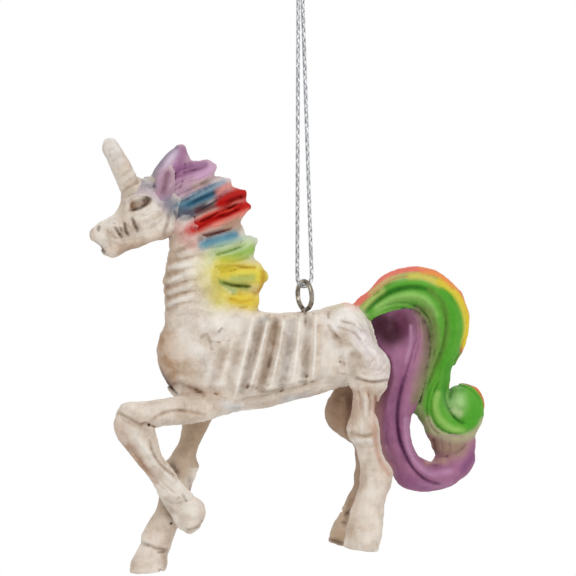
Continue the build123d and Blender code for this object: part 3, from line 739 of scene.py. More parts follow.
    def paint_and_light(self) -> list[PaintAndLightSpray]:
        """Returns the neck's tan, the jaw darker along its underside, the horn paler at its tip and the
        ears' lilac, with painted shade in the neck's folds, the eye socket, the mouth, between the teeth,
        behind the horn and in the ears, and painted highlights on the neck, the cheek and the muzzle.
        """
        neck = paint_and_light_sprays(
            (Region.NECK, Region.BODY),
            ("#CBB198", 11, 0.8, [(168, 246), (164, 280), (164, 316)]),
            # painted shade: darker wedges at the front of the neck's folds, and darker lines along them
            *[("#B2967E", 5.0, 0.6, [(162, y), (170, y - 3), (176, y - 4.5)])
              for y in (264, 277, 289, 300, 311)],
            ("#BDA289", 3.4, 0.6, [(176, 252), (190, 247), (204, 242)]),
            *[("#BFA88F", 3.0, 0.5, [(176, y - 4), (190, y - 8), (204, y - 9)])
              for y in (264, 277, 289, 300)],
            # painted highlights on the bulge under each fold and on the side of the neck
            *[("#F4EDE2", 3.6, 0.7, [(170, y + 4), (184, y - 1), (202, y - 3)])
              for y in (264, 277, 289, 300)],
            ("#F4ECDF", 13, 0.8, [(196, 264), (194, 284), (204, 304)]),
            ("#D3A59E", 10, 0.7, [(178, 226), (186, 238)]),
        )
        head = paint_and_light_sprays(
            (Region.HEAD,),
            ("#C3A78F", 9, 0.85, [(120, 251), (140, 245), (164, 238)]),
            ("#CAAF98", 9, 0.6, [(104, 252), (116, 248)]),
            # painted shade behind the teeth
            ("#B6A08C", 9, 0.55, [(112, 234), (126, 233), (138, 228)]),
            # painted highlights on the cheek and on top of the muzzle
            ("#F0E8DE", 8, 0.7, [(148, 207), (158, 206)]),
            ("#F0E9E0", 7, 0.6, [(104, 226), (114, 219)]),
            ("#CDB9A6", 6, 0.6, [(92, 230), (95, 240)]),
            ("#EAE2D8", 7, 0.5, [(152, 222), (160, 226)]),
            ("#CDBCCB", 9, 0.75, [(136, 190), (148, 190), (160, 198)]),
            # painted shade behind the horn
            ("#8F8A94", 8, 0.75, [(142, 183), (156, 186)]),
            # painted shade in the eye socket, between the teeth, in the nostril and the mouth, and in the
            # crease between jaw and neck
            ("#A58B74", 5.6, 0.9, [(135, 206), (141, 204), (149, 201)]),
            ("#8E7563", 3.4, 0.8, [(132, 210), (140, 208.5), (149, 202.5)]),
            ("#4A3628", 1.9, 0.9, [(134, 210.5), (140, 208.5), (146, 205)]),
            ("#4E3C30", 1.8, 0.85, [(147, 197.5), (151, 200)]),
            ("#6B5543", 2.6, 0.85, [(133, 219), (135.5, 224), (138, 231)]),
            ("#6B5543", 2.6, 0.85, [(125.5, 224), (126, 229), (129, 235)]),
            ("#6B5543", 2.4, 0.8, [(116, 228), (118.5, 232), (122, 237)]),
            ("#84705E", 2.0, 0.6, [(121, 228), (123, 232)]),
            ("#8A7462", 2.2, 0.7, [(100, 227), (99.5, 231)]),
            ("#3A2A20", 2.2, 0.9, [(96, 243), (101, 247), (105, 252)]),
            ("#937963", 3.0, 0.75, [(170, 208), (168, 222), (164, 235)]),
            ("#C9A6B2", 10, 0.8, [(166, 190), (169, 206)]),
        )
        horn = paint_and_light_sprays(
            (Region.HORN,),
            ("#EBE7E1", 14, 0.9, [(108, 142), (114, 158)]),
            ("#C3B5A2", 10, 0.6, [(122, 182), (128, 192)]),
            ("#B29A82", 6, 0.5, [(128, 186), (138, 180)]),
            ("#EEECE8", 4, 0.5, [(117, 150), (122, 160)]),
        )
        ears = paint_and_light_sprays(
            (Region.EARS,),
            ("#B68EA4", 16, 0.95, [(166, 178), (164, 196)], 0.5),
            # painted shade in the near ear's hollow
            ("#855D6D", 4.6, 0.85, [(168, 174), (166, 186), (164, 192)]),
            ("#CFAFC4", 3.4, 0.7, [(158, 186), (160, 176), (166, 169)]),
            # painted shade on the far ear behind the horn, and in its hollow
            ("#86808C", 9, 0.9, [(142, 181), (152, 184)]),
            ("#4A4450", 2.5, 0.7, [(150, 187), (155, 187)]),
        )
        return neck + head + horn + ears


@dataclass
class Mane(SubAssembly):
    """Nine locks of the mane, from the lilac crest down to the yellow."""

    width: float = 8.4

    def forms(self) -> list[Form]:
        """Returns the locks, each with the grooves between its strands."""
        crest = [
            (152, 184, 181, 198), (153.5, 172, 186, 184), (161.5, 160, 189, 171), (168.5, 152.5, 190, 158),
            (174, 149, 187, 148.5),
        ]
        lilac = [
            (166, 176, 170, 204), (186, 163, 189, 194), (200, 161, 204, 187), (210, 160, 212, 178),
            (214, 163, 214, 172),
        ]
        blue = [
            (172, 200, 178, 222), (190, 190, 195, 217), (205, 183, 211, 208), (220, 177, 225, 200),
            (227.5, 178.5, 229, 188),
        ]
        red_upper = [
            (178, 218, 183, 232), (206, 201, 211, 221), (224, 190, 230, 212), (237.5, 188, 241.5, 208),
            (243.5, 190, 244.5, 200),
        ]
        red_lower = [
            (180, 226, 187, 240), (208, 212, 214, 236), (228, 206, 234, 231), (241, 202, 242, 216.5),
            (248.5, 204, 248.5, 209.5),
        ]
        teal = [(186, 240, 190, 256), (212, 228, 217, 252), (229, 223, 233, 249), (236, 225, 240, 243)]
        green = [
            (192, 256, 198, 273), (220, 247, 225, 271), (238, 242, 241, 267), (249, 236.5, 250.5, 262),
            (255.5, 238, 254.5, 247),
        ]
        yellow = [
            (196, 270, 202, 290), (225, 264, 229, 293), (245, 260, 248, 292), (258, 262, 259, 291),
            (264, 270, 264, 283),
        ]
        yellow_low = [
            (204, 290, 211, 308), (232, 286, 238, 314), (245, 288, 247.5, 313), (253, 292, 253.5, 308),
        ]
        fine = (0.14, 0.32, 0.5, 0.68, 0.86)
        few = (0.25, 0.5, 0.75)
        rows = [
            ("mane_crest", crest, [0.7, 0.9, 0.78, 0.6, 0.44], fine, 0.22),
            ("mane_lilac_lock", lilac, [0.6, 0.94, 0.76, 0.5, 0.3], fine, 0.26),
            ("mane_blue_lock", blue, [0.7, 1.0, 0.8, 0.54, 0.3], few, 0.2),
            ("mane_red_upper_lock", red_upper, [0.7, 0.98, 0.78, 0.52, 0.3], few, 0.28),
            ("mane_red_lower_lock", red_lower, [0.75, 1.02, 0.78, 0.48, 0.24], fine, 0.26),
            ("mane_teal_lock", teal, [0.75, 1.02, 0.76, 0.42], few, 0.18),
            ("mane_green_lock", green, [0.8, 1.06, 0.84, 0.56, 0.26], few, 0.2),
            ("mane_yellow_upper_lock", yellow, [0.9, 1.12, 0.94, 0.64, 0.32], few, 0.18),
            ("mane_yellow_lower_lock", yellow_low, [0.95, 1.14, 0.9, 0.5], few, 0.18),
        ]
        return [
            Form(name, Region.MANE, lock, self.width, shares, blend=1.8, strands=strands, strand_depth=depth,
                ends=(0.4, 0.7))
            for name, lock, shares, strands, depth in rows
        ]

    def carving(self) -> list[Cut]:
        """Returns the wrinkles, slits and hollows that no strand groove gives."""
        return cuts(
            Region.MANE,
            (1.4, 0.3, [(178, 167), (188, 164.5), (202, 163)]),
            (1.3, 0.35, [(181, 175), (196, 170), (211, 164)]),
            (1.2, 0.3, [(170, 188), (176, 172), (182, 156)]),
            (1.8, 0.3, [(188, 206), (200, 199), (221, 190)]),
            (2.6, 0.35, [(192, 211), (206, 206), (224, 200)]),
            (1.6, -0.3, [(190, 201), (206, 193), (224, 184)]),
            (2.8, 0.65, [(228, 203), (237, 199), (244, 196)]),
            (1.5, 0.32, [(196, 226), (206, 219), (226, 214), (246, 207)]),
            (1.2, 0.28, [(200, 223), (216, 214), (236, 206)]),
            (1.0, 0.35, [(222, 207), (229, 208), (238, 203)]),
            (1.0, 0.3, [(206, 212), (218, 210), (228, 204)]),
            (1.2, 0.14, [(206, 251), (220, 247), (236, 243)]),
            (1.8, 0.14, [(216, 262), (232, 261), (250, 256)]),
            (1.2, 0.16, [(214, 256), (232, 251), (252, 243)]),
            (1.7, 0.5, [(219, 282), (230, 284.5), (242, 286), (254, 286)], 2.4),
            (1.1, 0.18, [(216, 270), (234, 266), (250, 268), (263, 266)]),
            (1.0, 0.16, [(214, 277), (230, 274), (246, 276), (262, 274)]),
            (1.3, 0.16, [(222, 296), (232, 299), (242, 302), (256, 299)]),
            (1.1, 0.16, [(226, 305), (240, 308.5), (254, 306)]),
        )

    def paint_and_light(self) -> list[PaintAndLightSpray]:
        """Returns the rainbow, laid over the locks and fading out on the neck and the poll, with painted
        shade in the grooves, the slits and between the locks, and painted highlights along the strands.
        """
        hair = (Region.MANE, Region.NECK)
        poll = (Region.MANE, Region.NECK, Region.HEAD, Region.EARS)
        roots = paint_and_light_sprays(
            poll,
            ("#C9A9B4", 16, 0.8, [(180, 186), (206, 184), (224, 180)]),
            ("#B7AEB0", 10, 0.8, [(180, 208), (204, 198), (228, 186)]),
            ("#CFA498", 13, 0.8, [(200, 228), (222, 222), (240, 214)]),
            ("#BFAA97", 7, 0.85, [(204, 238), (222, 232), (238, 228)]),
        )
        lilac = paint_and_light_sprays(
            hair,
            ("#C294B2", 25, 0.97, [(172, 156), (176, 172), (200, 172)], 0.4),
            ("#C2A0B0", 13, 0.8, [(176, 190), (196, 184)]),
            # painted highlights on the crest
            ("#DCCFE0", 7, 0.8, [(166, 174), (168, 164), (176, 153)]),
            ("#8F8C9A", 4.4, 0.8, [(152, 184), (155, 174), (161, 164), (170, 151), (176, 147)]),
            ("#9B6890", 8, 0.75, [(184, 151), (180, 165), (174, 178)]),
            # painted shade in the crest's grooves
            ("#8A5480", 5.0, 0.8, [(180, 170), (192, 167), (206, 165)]),
            ("#8A5480", 3.0, 0.65, [(178, 177), (190, 174), (204, 168)]),
            ("#D3A5CA", 5.5, 0.7, [(198, 178), (211, 170), (214, 165)]),
            ("#B48FA0", 7, 0.6, [(166, 196), (178, 190)]),
            ("#CDB3A8", 6.5, 0.85, [(196, 187), (210, 181), (224, 177)]),
            ("#8E7466", 2.6, 0.7, [(202, 184), (212, 180)]),
            ("#E6D9D6", 6, 0.85, [(214, 183), (226, 180), (231, 182)]),
        )
        blue = paint_and_light_sprays(
            poll,
            ("#7D8796", 12, 0.8, [(170, 204), (178, 212), (188, 214)]),
            ("#4D7D93", 9, 0.97, [(182, 207), (202, 198), (222, 189)], 0.3),
            # a painted highlight along the blue lock, and painted shade in its groove and under it
            ("#93B2BF", 3.8, 0.85, [(192, 197), (206, 190), (224, 183)]),
            ("#2C5F78", 3.4, 0.85, [(188, 205), (206, 198), (221, 191)]),
            ("#4A4556", 7, 0.85, [(178, 211), (190, 213), (204, 207)]),
            ("#332C3E", 3.0, 0.8, [(176, 213), (183, 219), (194, 217)]),
        )
        red = paint_and_light_sprays(
            hair,
            ("#E8968A", 6.0, 0.9, [(219, 192), (230, 186), (238, 187)]),
            # painted shade in the groove where the red lock meets the blue one
            ("#5A2126", 5, 0.9, [(198, 212), (212, 207), (228, 202)]),
            ("#BC120F", 9, 0.98, [(222, 202), (236, 195), (246, 192)], 0.5),
            # painted shade in the red lock's slit
            ("#860A0C", 4.0, 0.85, [(228, 203), (237, 198.5), (244, 197)]),
            ("#D9A79C", 13, 0.7, [(186, 236), (194, 242)]),
            ("#C8160F", 9.5, 0.98, [(192, 229), (210, 220), (230, 212), (248, 205)], 0.4),
            # painted shade in the red lock's grooves
            ("#9C0D0C", 2.8, 0.8, [(196, 229), (210, 221), (228, 215)]),
            ("#9C0D0C", 2.4, 0.7, [(216, 213), (228, 208), (242, 204)]),
            ("#E8503E", 2.6, 0.6, [(204, 217), (218, 212), (232, 210)]),
            # a painted highlight along the lower red lock
            ("#EE8F7E", 3.4, 0.85, [(214, 226), (230, 219.5), (248, 211)]),
            # painted shade between the red and the teal locks
            ("#8E6A60", 5.5, 0.85, [(200, 239), (214, 234), (228, 229)]),
            ("#BA967E", 6, 0.85, [(226, 227), (238, 221)]),
        )
        cool = paint_and_light_sprays(
            hair,
            ("#5490A8", 7.5, 0.95, [(204, 245), (220, 240), (234, 236)], 0.3),
            # painted highlights on the teal and green locks, and painted shade in the green lock's groove
            ("#9CC7C4", 3.5, 0.7, [(216, 247), (230, 243), (242, 238)]),
            ("#CDDCC9", 6, 0.85, [(247, 238), (254, 240)]),
            ("#B3CB86", 11, 0.85, [(214, 255), (230, 251), (246, 247)]),
            ("#8FB945", 9, 0.9, [(224, 258), (236, 256), (252, 250)]),
            ("#6F9A2C", 2.6, 0.7, [(222, 261), (236, 261), (248, 258)]),
            ("#CFE0AC", 3.0, 0.7, [(222, 255), (238, 250), (252, 242)]),
        )
        warm = paint_and_light_sprays(
            hair,
            ("#E4D99A", 19, 0.85, [(207, 268), (209, 282), (218, 298)]),
            ("#E7D544", 18, 0.97, [(224, 271), (242, 273), (260, 276)], 0.3),
            ("#EBD03E", 15, 0.97, [(230, 297), (252, 301)], 0.3),
            ("#CDA026", 4, 0.8, [(259, 292), (263, 282), (263, 272)]),
            # painted shade in the yellow lock's grooves
            ("#D6B22C", 3.0, 0.6, [(220, 270), (236, 266), (254, 268)]),
            ("#9DB56A", 6, 0.7, [(234, 279), (252, 278)]),
            # painted shade in the slit between the yellow locks
            ("#7F9A34", 6.0, 0.8, [(219, 282), (232, 285), (246, 287)]),
            ("#5A6420", 2.2, 0.8, [(224, 283), (234, 285.5), (250, 286.5)]),
            ("#A3BE86", 5.0, 0.8, [(218, 288), (234, 291.5)]),
            # painted shade in the lower yellow lock's groove
            ("#D0A22C", 2.6, 0.5, [(228, 298), (240, 302), (252, 300)]),
            ("#DDD27C", 8, 0.6, [(214, 296), (224, 306)]),
        )
        shoulder = paint_and_light_sprays(
            (Region.NECK,),
            ("#E6D866", 13, 0.75, [(217, 264), (218, 280), (224, 297)]),
            ("#B9C98A", 8, 0.6, [(214, 252), (212, 260)]),
        )
        return roots + lilac + blue + red + cool + warm + shoulder


@dataclass
class ForeLegs(SubAssembly):
    """The raised left foreleg and the standing right one."""

    width: float = 6.2
    track: float = 12.4

    def forms(self) -> list[Form]:
        """Returns forearms, cannons and hoofs."""
        near, far = -self.track / 2, self.track / 2
        knee, fetlock = (118, 412, 154, 429), (160, 494, 191, 494)
        far_knee, coronet = (166, 464, 198, 466), (141, 542, 170, 549)
        rows = [
            ("left_forearm", Region.NEAR_FORE,
             [(228, 394, 226, 410), (208, 394, 210, 418), (190, 396.5, 190, 422), (168, 398.5, 169, 424),
              (138, 402, 156, 427), (124, 404, 154, 428), knee],
             [0.6, 0.9, 1.0, 0.95, 0.9, 0.88, 0.84], near, [0.45, 0.78, 0.92, 1.0, 0.99, 0.98, 0.97], 4.0),
            ("left_fore_cannon", Region.NEAR_FORE,
             [knee, (114, 424, 157, 433), (117, 436, 158, 437), (125.5, 448, 159, 443),
              (135.5, 460, 162, 453),
              (146, 474, 170, 465), (153, 483, 180, 478), fetlock],
             [0.84, 0.86, 0.86, 0.8, 0.74, 0.74, 0.78, 0.82], near,
             [0.97, 0.94, 0.9, 0.84, 0.76, 0.66, 0.58, 0.48], 0.8),
            ("right_forearm", Region.FAR_FORE,
             [(188, 396, 218, 392), (183, 418, 213, 415), (181, 432, 206, 430), (178, 444, 200, 443),
              (171, 456, 196, 455), far_knee],
             [0.95, 1.0, 0.92, 0.86, 0.9, 0.92], far, [0.9, 0.92, 0.9, 0.86, 0.8, 0.76], 2.4),
            ("right_fore_cannon", Region.FAR_FORE,
             [far_knee, (163, 475, 195, 478), (161, 485, 191, 488), (159, 497, 188, 499),
              (155, 511, 183, 513),
              (148, 523, 179, 524), (142, 533, 174, 537), coronet],
             [0.88, 0.84, 0.76, 0.74, 0.76, 0.82, 0.86, 0.86], far,
             [0.76, 0.7, 0.66, 0.6, 0.56, 0.54, 0.54, 0.54], 1.6),
            ("right_fore_hoof", Region.FAR_FORE,
             [coronet, (136, 551, 168, 556), (131, 562, 168, 563), (130, 573, 166, 569)],
             [0.86, 0.98, 1.06, 1.1], far, [0.54, 0.54, 0.54, 0.54], 0.4),
            ("left_fore_hoof", Region.NEAR_FORE,
             [fetlock, (163, 503, 200, 499), (169, 513, 205, 508), (174, 522, 205, 517), (180, 529, 201, 526),
              (186, 533, 195, 531)],
             [0.82, 0.92, 0.98, 0.94, 0.76, 0.36], near, [0.46, 0.38, 0.32, 0.3, 0.3, 0.3], 1.6),
        ]
        made = []
        for name, region, edges, shares, side, places, blend in rows:
            ends = (0.4, 0.03) if name == "right_fore_hoof" else (0.4, 0.4)
            sides = [side * p for p in places]
            made.append(Form(name, region, edges, self.width, shares, sides, blend, ends))
        return made

    def carving(self) -> list[Cut]:
        """Returns knee creases, tendon grooves, crowns and the notches of the hoofs."""
        near = cuts(
            Region.NEAR_FORE,
            (1.4, 0.26, [(149, 422), (157, 416), (166, 412), (179, 410), (193, 411)]),
            (1.3, 0.2, [(176, 409), (192, 413), (207, 415)]),
            (1.5, 0.34, [(115, 411), (124, 415), (133, 420), (141, 425)]),
            (1.2, 0.35, [(139, 425), (146, 422), (152, 425), (158, 427)]),
            (1.3, 0.55, [(148.5, 424.5), (150, 424.8)], 2.0, 0.05),
            (1.2, 0.22, [(119, 418), (128, 422), (139, 429)]),
            (2.8, -0.42, [(134, 432), (147, 450), (156, 463), (168, 475), (182, 487)]),
            (1.4, 0.4, [(124, 431), (131, 447), (145, 466), (156, 481), (170, 494)]),
            (1.3, 0.4, [(150, 438), (153, 452), (161, 464), (173, 474), (184, 482)]),
            (1.1, 0.3, [(157, 476), (168, 487), (178, 495)]),
            (1.2, 0.35, [(183, 493), (185, 498), (188, 503)]),
            (0.9, 0.25, [(176, 500), (180, 496.5)]),
            (1.1, 0.28, [(184, 531), (192, 529), (199, 526), (205, 519)]),
            (1.6, 0.3, [(164, 500), (174, 503), (186, 501), (197, 497)]),
            (0.9, 0.12, [(178, 512), (181, 520), (180, 527)]),
            (4.0, -0.3, [(193, 508), (196, 518)]),
        )
        far = cuts(
            Region.FAR_FORE,
            (1.8, 0.3, [(168, 465), (174, 468), (178, 475)]),
            (1.4, 0.6, [(170.5, 522.5), (172, 524)], 2.0, 0.05),
            (1.0, 0.15, [(161, 503), (160, 512), (158, 520)]),
            (1.5, 0.45, [(140, 543), (148, 545), (158, 549), (170, 550)]),
            (1.2, 0.35, [(156, 551), (161, 553), (166, 551)]),
            (1.0, 0.25, [(157, 556), (159, 563), (159, 571)]),
            (1.2, 0.3, [(158, 570), (162, 570)], 2.0, 0.05),
            (1.0, 0.15, [(146, 532), (156, 536), (166, 541)]),
            (2.6, -0.25, [(146, 551), (144, 563)]),
            (1.0, 0.15, [(184, 440), (180, 452), (176, 462)]),
            (1.0, 0.15, [(192, 452), (191, 464), (189, 476)]),
        )
        return near + far

    def paint_and_light(self) -> list[PaintAndLightSpray]:
        """Returns the far leg in painted shade, darkest at the top and in its creases, and the near leg's
        tan, with painted shade in its creases and pit and painted highlights on its tendon and hoof.
        """
        near = paint_and_light_sprays(
            (Region.NEAR_FORE,),
            ("#C7A58A", 10, 0.85, [(116, 424), (122, 440), (136, 458), (152, 482)]),
            # painted shade in the cannon's groove
            ("#BB9880", 5, 0.6, [(122, 432), (134, 450), (146, 468)]),
            # a painted highlight along the tendon
            ("#F0E6DA", 6, 0.75, [(136, 432), (148, 450), (160, 466), (180, 484)]),
            # painted shade in the knee's creases and its pit
            ("#B59A81", 4, 0.6, [(120, 413), (132, 419), (142, 425)]),
            ("#B59A81", 3.5, 0.55, [(152, 420), (164, 412.5), (180, 410), (200, 413)]),
            ("#C9AF97", 7, 0.6, [(178, 416), (204, 416)]),
            ("#4E4540", 1.7, 0.85, [(149, 424.5)]),
            ("#8C7463", 2.4, 0.5, [(141, 424), (146, 423)]),
            ("#B8A592", 6, 0.5, [(166, 500), (172, 512)]),
            # a painted highlight on the hoof's ridge
            ("#E8DED1", 8, 0.6, [(192, 508), (196, 516)]),
            # painted shade in a groove, the fetlock's crease and the hoof's rim
            ("#B9A38E", 2.6, 0.6, [(150, 440), (154, 453), (162, 465), (174, 475)]),
            ("#8B7665", 1.8, 0.5, [(183, 494), (185.5, 500)]),
            ("#A78F7B", 1.8, 0.6, [(188, 529.5), (196, 527), (203, 521)]),
        )
        far = paint_and_light_sprays(
            (Region.FAR_FORE,),
            # the far leg in painted shade, darkest at the top and lighter down to the hoof
            ("#C0A68D", 24, 0.9, [(198, 404), (194, 424)], 0.5),
            ("#C6AF96", 18, 0.85, [(190, 438), (184, 456)], 0.5),
            ("#D2BFAA", 18, 0.8, [(180, 468), (178, 486)], 0.5),
            ("#D3C0AC", 20, 0.8, [(172, 500), (160, 530)], 0.5),
            ("#E6D5C5", 22, 0.85, [(150, 548), (148, 566)], 0.6),
            # painted shade in the knee, the grooves, the hole, the coronet and its notches
            ("#83705E", 5, 0.7, [(172, 465), (177, 473)]),
            ("#8A7663", 4, 0.5, [(190, 480), (190, 494)]),
            ("#A18D79", 5, 0.5, [(166, 506), (170, 518)]),
            ("#4A3B30", 1.9, 0.85, [(171, 523)]),
            ("#9C8773", 3.4, 0.6, [(142, 543), (152, 546), (166, 550)]),
            ("#6E5A49", 1.7, 0.75, [(158, 552), (164, 552)]),
            ("#6E5A49", 1.7, 0.7, [(160, 570)]),
            # a painted highlight on one facet of the hoof, and painted shade on the other
            ("#E0D4C6", 5, 0.5, [(150, 556), (152, 566)]),
            ("#B8A48F", 5, 0.5, [(164, 556), (166, 566)]),
        )
        return near + far


@dataclass
class HindLegs(SubAssembly):
    """Both standing hind legs."""

    width: float = 7.0
    track: float = 12.4

    def forms(self) -> list[Form]:
        """Returns thighs, gaskins, cannons and hoofs."""
        near, far = -self.track / 2, self.track / 2
        stifle, hock, coronet = (350, 386, 387, 386), (349, 437, 379, 438), (351, 512, 384, 513)
        far_stifle, far_hock, far_coronet = (335, 391, 363, 381), (346.5, 440, 375, 428), (342, 511, 367, 515)
        rows = [
            ("left_thigh", Region.NEAR_HIND,
             [(340, 313, 357, 311), (335, 325, 366, 325), (336, 344, 374, 343), (341, 362, 387, 358),
              (346, 375, 390, 372), stifle],
             [0.5, 0.9, 1.06, 1.08, 1.02, 0.96], near, [0.62, 0.78, 0.88, 0.96, 1.0, 1.0], 1.6),
            ("left_gaskin", Region.NEAR_HIND,
             [stifle, (353, 394, 380, 397), (352, 408, 375, 408), (349, 420, 378, 420), (346, 430, 379, 430),
              hock],
             [0.96, 0.9, 0.86, 0.9, 0.94, 0.92], near, [1.0] * 6, 0.9),
            ("left_hind_cannon", Region.NEAR_HIND,
             [hock, (356, 449, 381, 448), (359, 462, 386, 460), (360, 474, 393, 472), (359, 486, 390, 487),
              (355, 500, 385, 501), coronet],
             [0.92, 0.84, 0.82, 0.84, 0.86, 0.88, 0.92], near, [1.0] * 7, 0.9),
            ("left_hind_hoof", Region.NEAR_HIND,
             [coronet, (347, 527, 383, 529), (344, 542, 380, 545), (343, 548, 379, 551)],
             [0.92, 1.0, 1.08, 1.1], near, [1.0] * 4, 0.9),
            ("right_thigh", Region.FAR_HIND,
             [(322, 316, 344, 312), (319, 334, 352, 330), (324, 354, 361, 348), (329, 373, 364, 366),
              far_stifle],
             [0.5, 0.95, 1.06, 1.02, 0.96], far, [0.66, 0.82, 0.92, 0.98, 1.0], 1.6),
            ("right_gaskin", Region.FAR_HIND,
             [far_stifle, (325.5, 409, 353, 395), (327.5, 424, 361, 405), (336.5, 434, 369, 417), far_hock],
             [0.96, 0.9, 0.9, 0.92, 0.92], far, [1.0] * 5, 0.9),
            ("right_hind_cannon", Region.FAR_HIND,
             [far_hock, (355, 448, 379, 442), (356, 459, 381, 457), (355, 474, 380, 474),
              (353, 489, 376, 491), (346, 501, 370, 505), far_coronet],
             [0.92, 0.84, 0.8, 0.8, 0.84, 0.88, 0.92], far, [1.0] * 7, 0.9),
            ("right_hind_hoof", Region.FAR_HIND,
             [far_coronet, (336, 522, 364, 526), (330, 533, 361, 538), (328, 543, 357, 549)],
             [0.92, 1.0, 1.06, 1.1], far, [1.0] * 4, 0.5),
        ]
        made = []
        for name, region, edges, shares, side, places, blend in rows:
            ends = (0.4, 0.03) if name.endswith("hoof") else (0.4, 0.4)
            sides = [side * p for p in places]
            made.append(Form(name, region, edges, self.width, shares, sides, blend, ends))
        return made

    def carving(self) -> list[Cut]:
        """Returns hip ridges, knee creases, the ball joint and the tendons."""
        near = cuts(
            Region.NEAR_HIND,
            (5.0, -0.25, [(358, 330), (366, 342), (377, 353), (384, 364)]),
            (6.0, -0.35, [(372, 362), (380, 367)], 2.4, 0.05),
            (5.0, 0.4, [(350, 350), (358, 362), (362, 372)]),
            (1.3, 0.1, [(355, 333), (362, 345), (371, 355), (378, 366)]),
            (1.2, 0.08, [(359, 340), (365, 350), (373, 359)]),
            (1.3, 0.32, [(355, 377), (363, 380), (374, 382), (389, 380)]),
            (1.1, 0.3, [(362, 372), (367, 376.5)]),
            (1.2, 0.2, [(361, 366), (372, 370), (384, 369)]),
            (1.3, 0.42, [(352, 389), (354, 400), (351, 414)]),
            (1.1, 0.42, [(357, 387), (360, 398), (361, 413)]),
            (1.1, 0.42, [(367, 388), (370, 402), (369.5, 415), (371, 424)]),
            (2.2, -0.5, [(364.5, 392), (365.5, 406), (365, 420)]),
            (1.2, 0.42, [(374, 392), (376, 404), (374.5, 416)]),
            (7.0, -0.4, [(360, 427), (364, 427)], 3.0, 0.02),
            (1.1, 0.25, [(350, 420), (352, 429), (350, 437)]),
            (1.2, 0.25, [(356, 434), (364, 437), (375, 434)]),
            (2.6, -0.25, [(352, 441), (364, 442), (376, 441)]),
            (1.2, 0.2, [(357, 447), (366, 448), (377, 447)]),
            (0.9, 0.08, [(364, 455), (365, 480), (363, 505)]),
            (1.2, 0.16, [(350, 530), (355, 527.5), (360, 530), (358, 534)]),
            (2.6, 0.16, [(378, 455), (384, 468), (386, 480)]),
        )
        far = cuts(
            Region.FAR_HIND,
            (1.6, 0.12, [(331, 396), (338, 400), (346, 402)]),
            (1.6, 0.12, [(330, 412), (337, 416), (346, 426)]),
            (1.3, 0.45, [(340, 512), (348, 514), (356, 518), (366, 519)]),
            (1.2, 0.3, [(341, 522), (346, 524)]),
            (1.2, 0.3, [(346, 504), (350, 508)]),
            (1.4, 0.25, [(332, 537), (338, 540), (346, 541)]),
        )
        return near + far

    def paint_and_light(self) -> list[PaintAndLightSpray]:
        """Returns the far leg in painted shade, and the near leg's tan and pale shins, with painted shade
        in its hollow, grooves and creases and painted highlights on the rump, the gaskin and the hock.
        """
        near = paint_and_light_sprays(
            (Region.NEAR_HIND,),
            # painted shade in the hollow under the hip
            ("#D2C2B4", 8, 0.5, [(352, 356), (362, 366)]),
            # a painted highlight on the bulge of the rump
            ("#FAF2F0", 12, 0.9, [(376, 362), (384, 376)], 0.3),
            # painted shade in the gaskin's grooves, and a painted highlight on its ridge
            ("#CDB19C", 9, 0.7, [(356, 392), (356, 408), (352, 422)]),
            ("#CDB09A", 9, 0.65, [(368, 392), (372, 410), (374, 428)]),
            ("#E6DCCF", 4.0, 0.55, [(366, 398), (367, 418)]),
            ("#C4B09B", 9, 0.5, [(350, 434), (356, 450)]),
            # a painted highlight on the hock's raised band, and painted shade in the creases of hock and
            # stifle
            ("#EAE2D7", 5, 0.75, [(354, 441), (366, 442), (376, 440)]),
            ("#B69C84", 3, 0.6, [(352, 433), (362, 436), (374, 434)]),
            ("#9B8673", 2.6, 0.7, [(357, 378), (368, 381.5), (388, 380)]),
            ("#D2BBA5", 12, 0.75, [(360, 466), (358, 500), (352, 530)]),
            ("#EADBCB", 10, 0.7, [(380, 470), (378, 500), (374, 530)]),
            ("#C3AE9A", 3.0, 0.5, [(352, 529), (357, 529)]),
            ("#CBBBA9", 5, 0.5, [(346, 547), (372, 550)]),
        )
        far = paint_and_light_sprays(
            (Region.FAR_HIND,),
            # the far leg in painted shade, darkest at the thigh and gaskin, with darker creases, notches and
            # hoof
            ("#AA8C74", 26, 0.95, [(344, 388), (342, 404), (344, 426)], 0.7),
            ("#7E624E", 6, 0.7, [(348, 396), (350, 412), (347, 430)]),
            ("#BA9E84", 6, 0.7, [(328, 402), (327, 412), (332, 426)]),
            ("#A88D75", 16, 0.85, [(356, 452), (356, 480), (352, 498)], 0.6),
            ("#C9B096", 16, 0.85, [(346, 512), (338, 530), (334, 542)], 0.5),
            ("#8A705C", 4, 0.6, [(352, 500), (348, 514), (345, 526)]),
            ("#5E4A3A", 1.8, 0.6, [(345, 516), (350, 511)]),
            ("#5E4A3A", 1.8, 0.5, [(342, 523), (346, 524)]),
            ("#5A4536", 3, 0.75, [(332, 541), (342, 544)]),
            ("#C9B8A4", 4, 0.6, [(338, 520), (334, 532)]),
        )
        return near + far


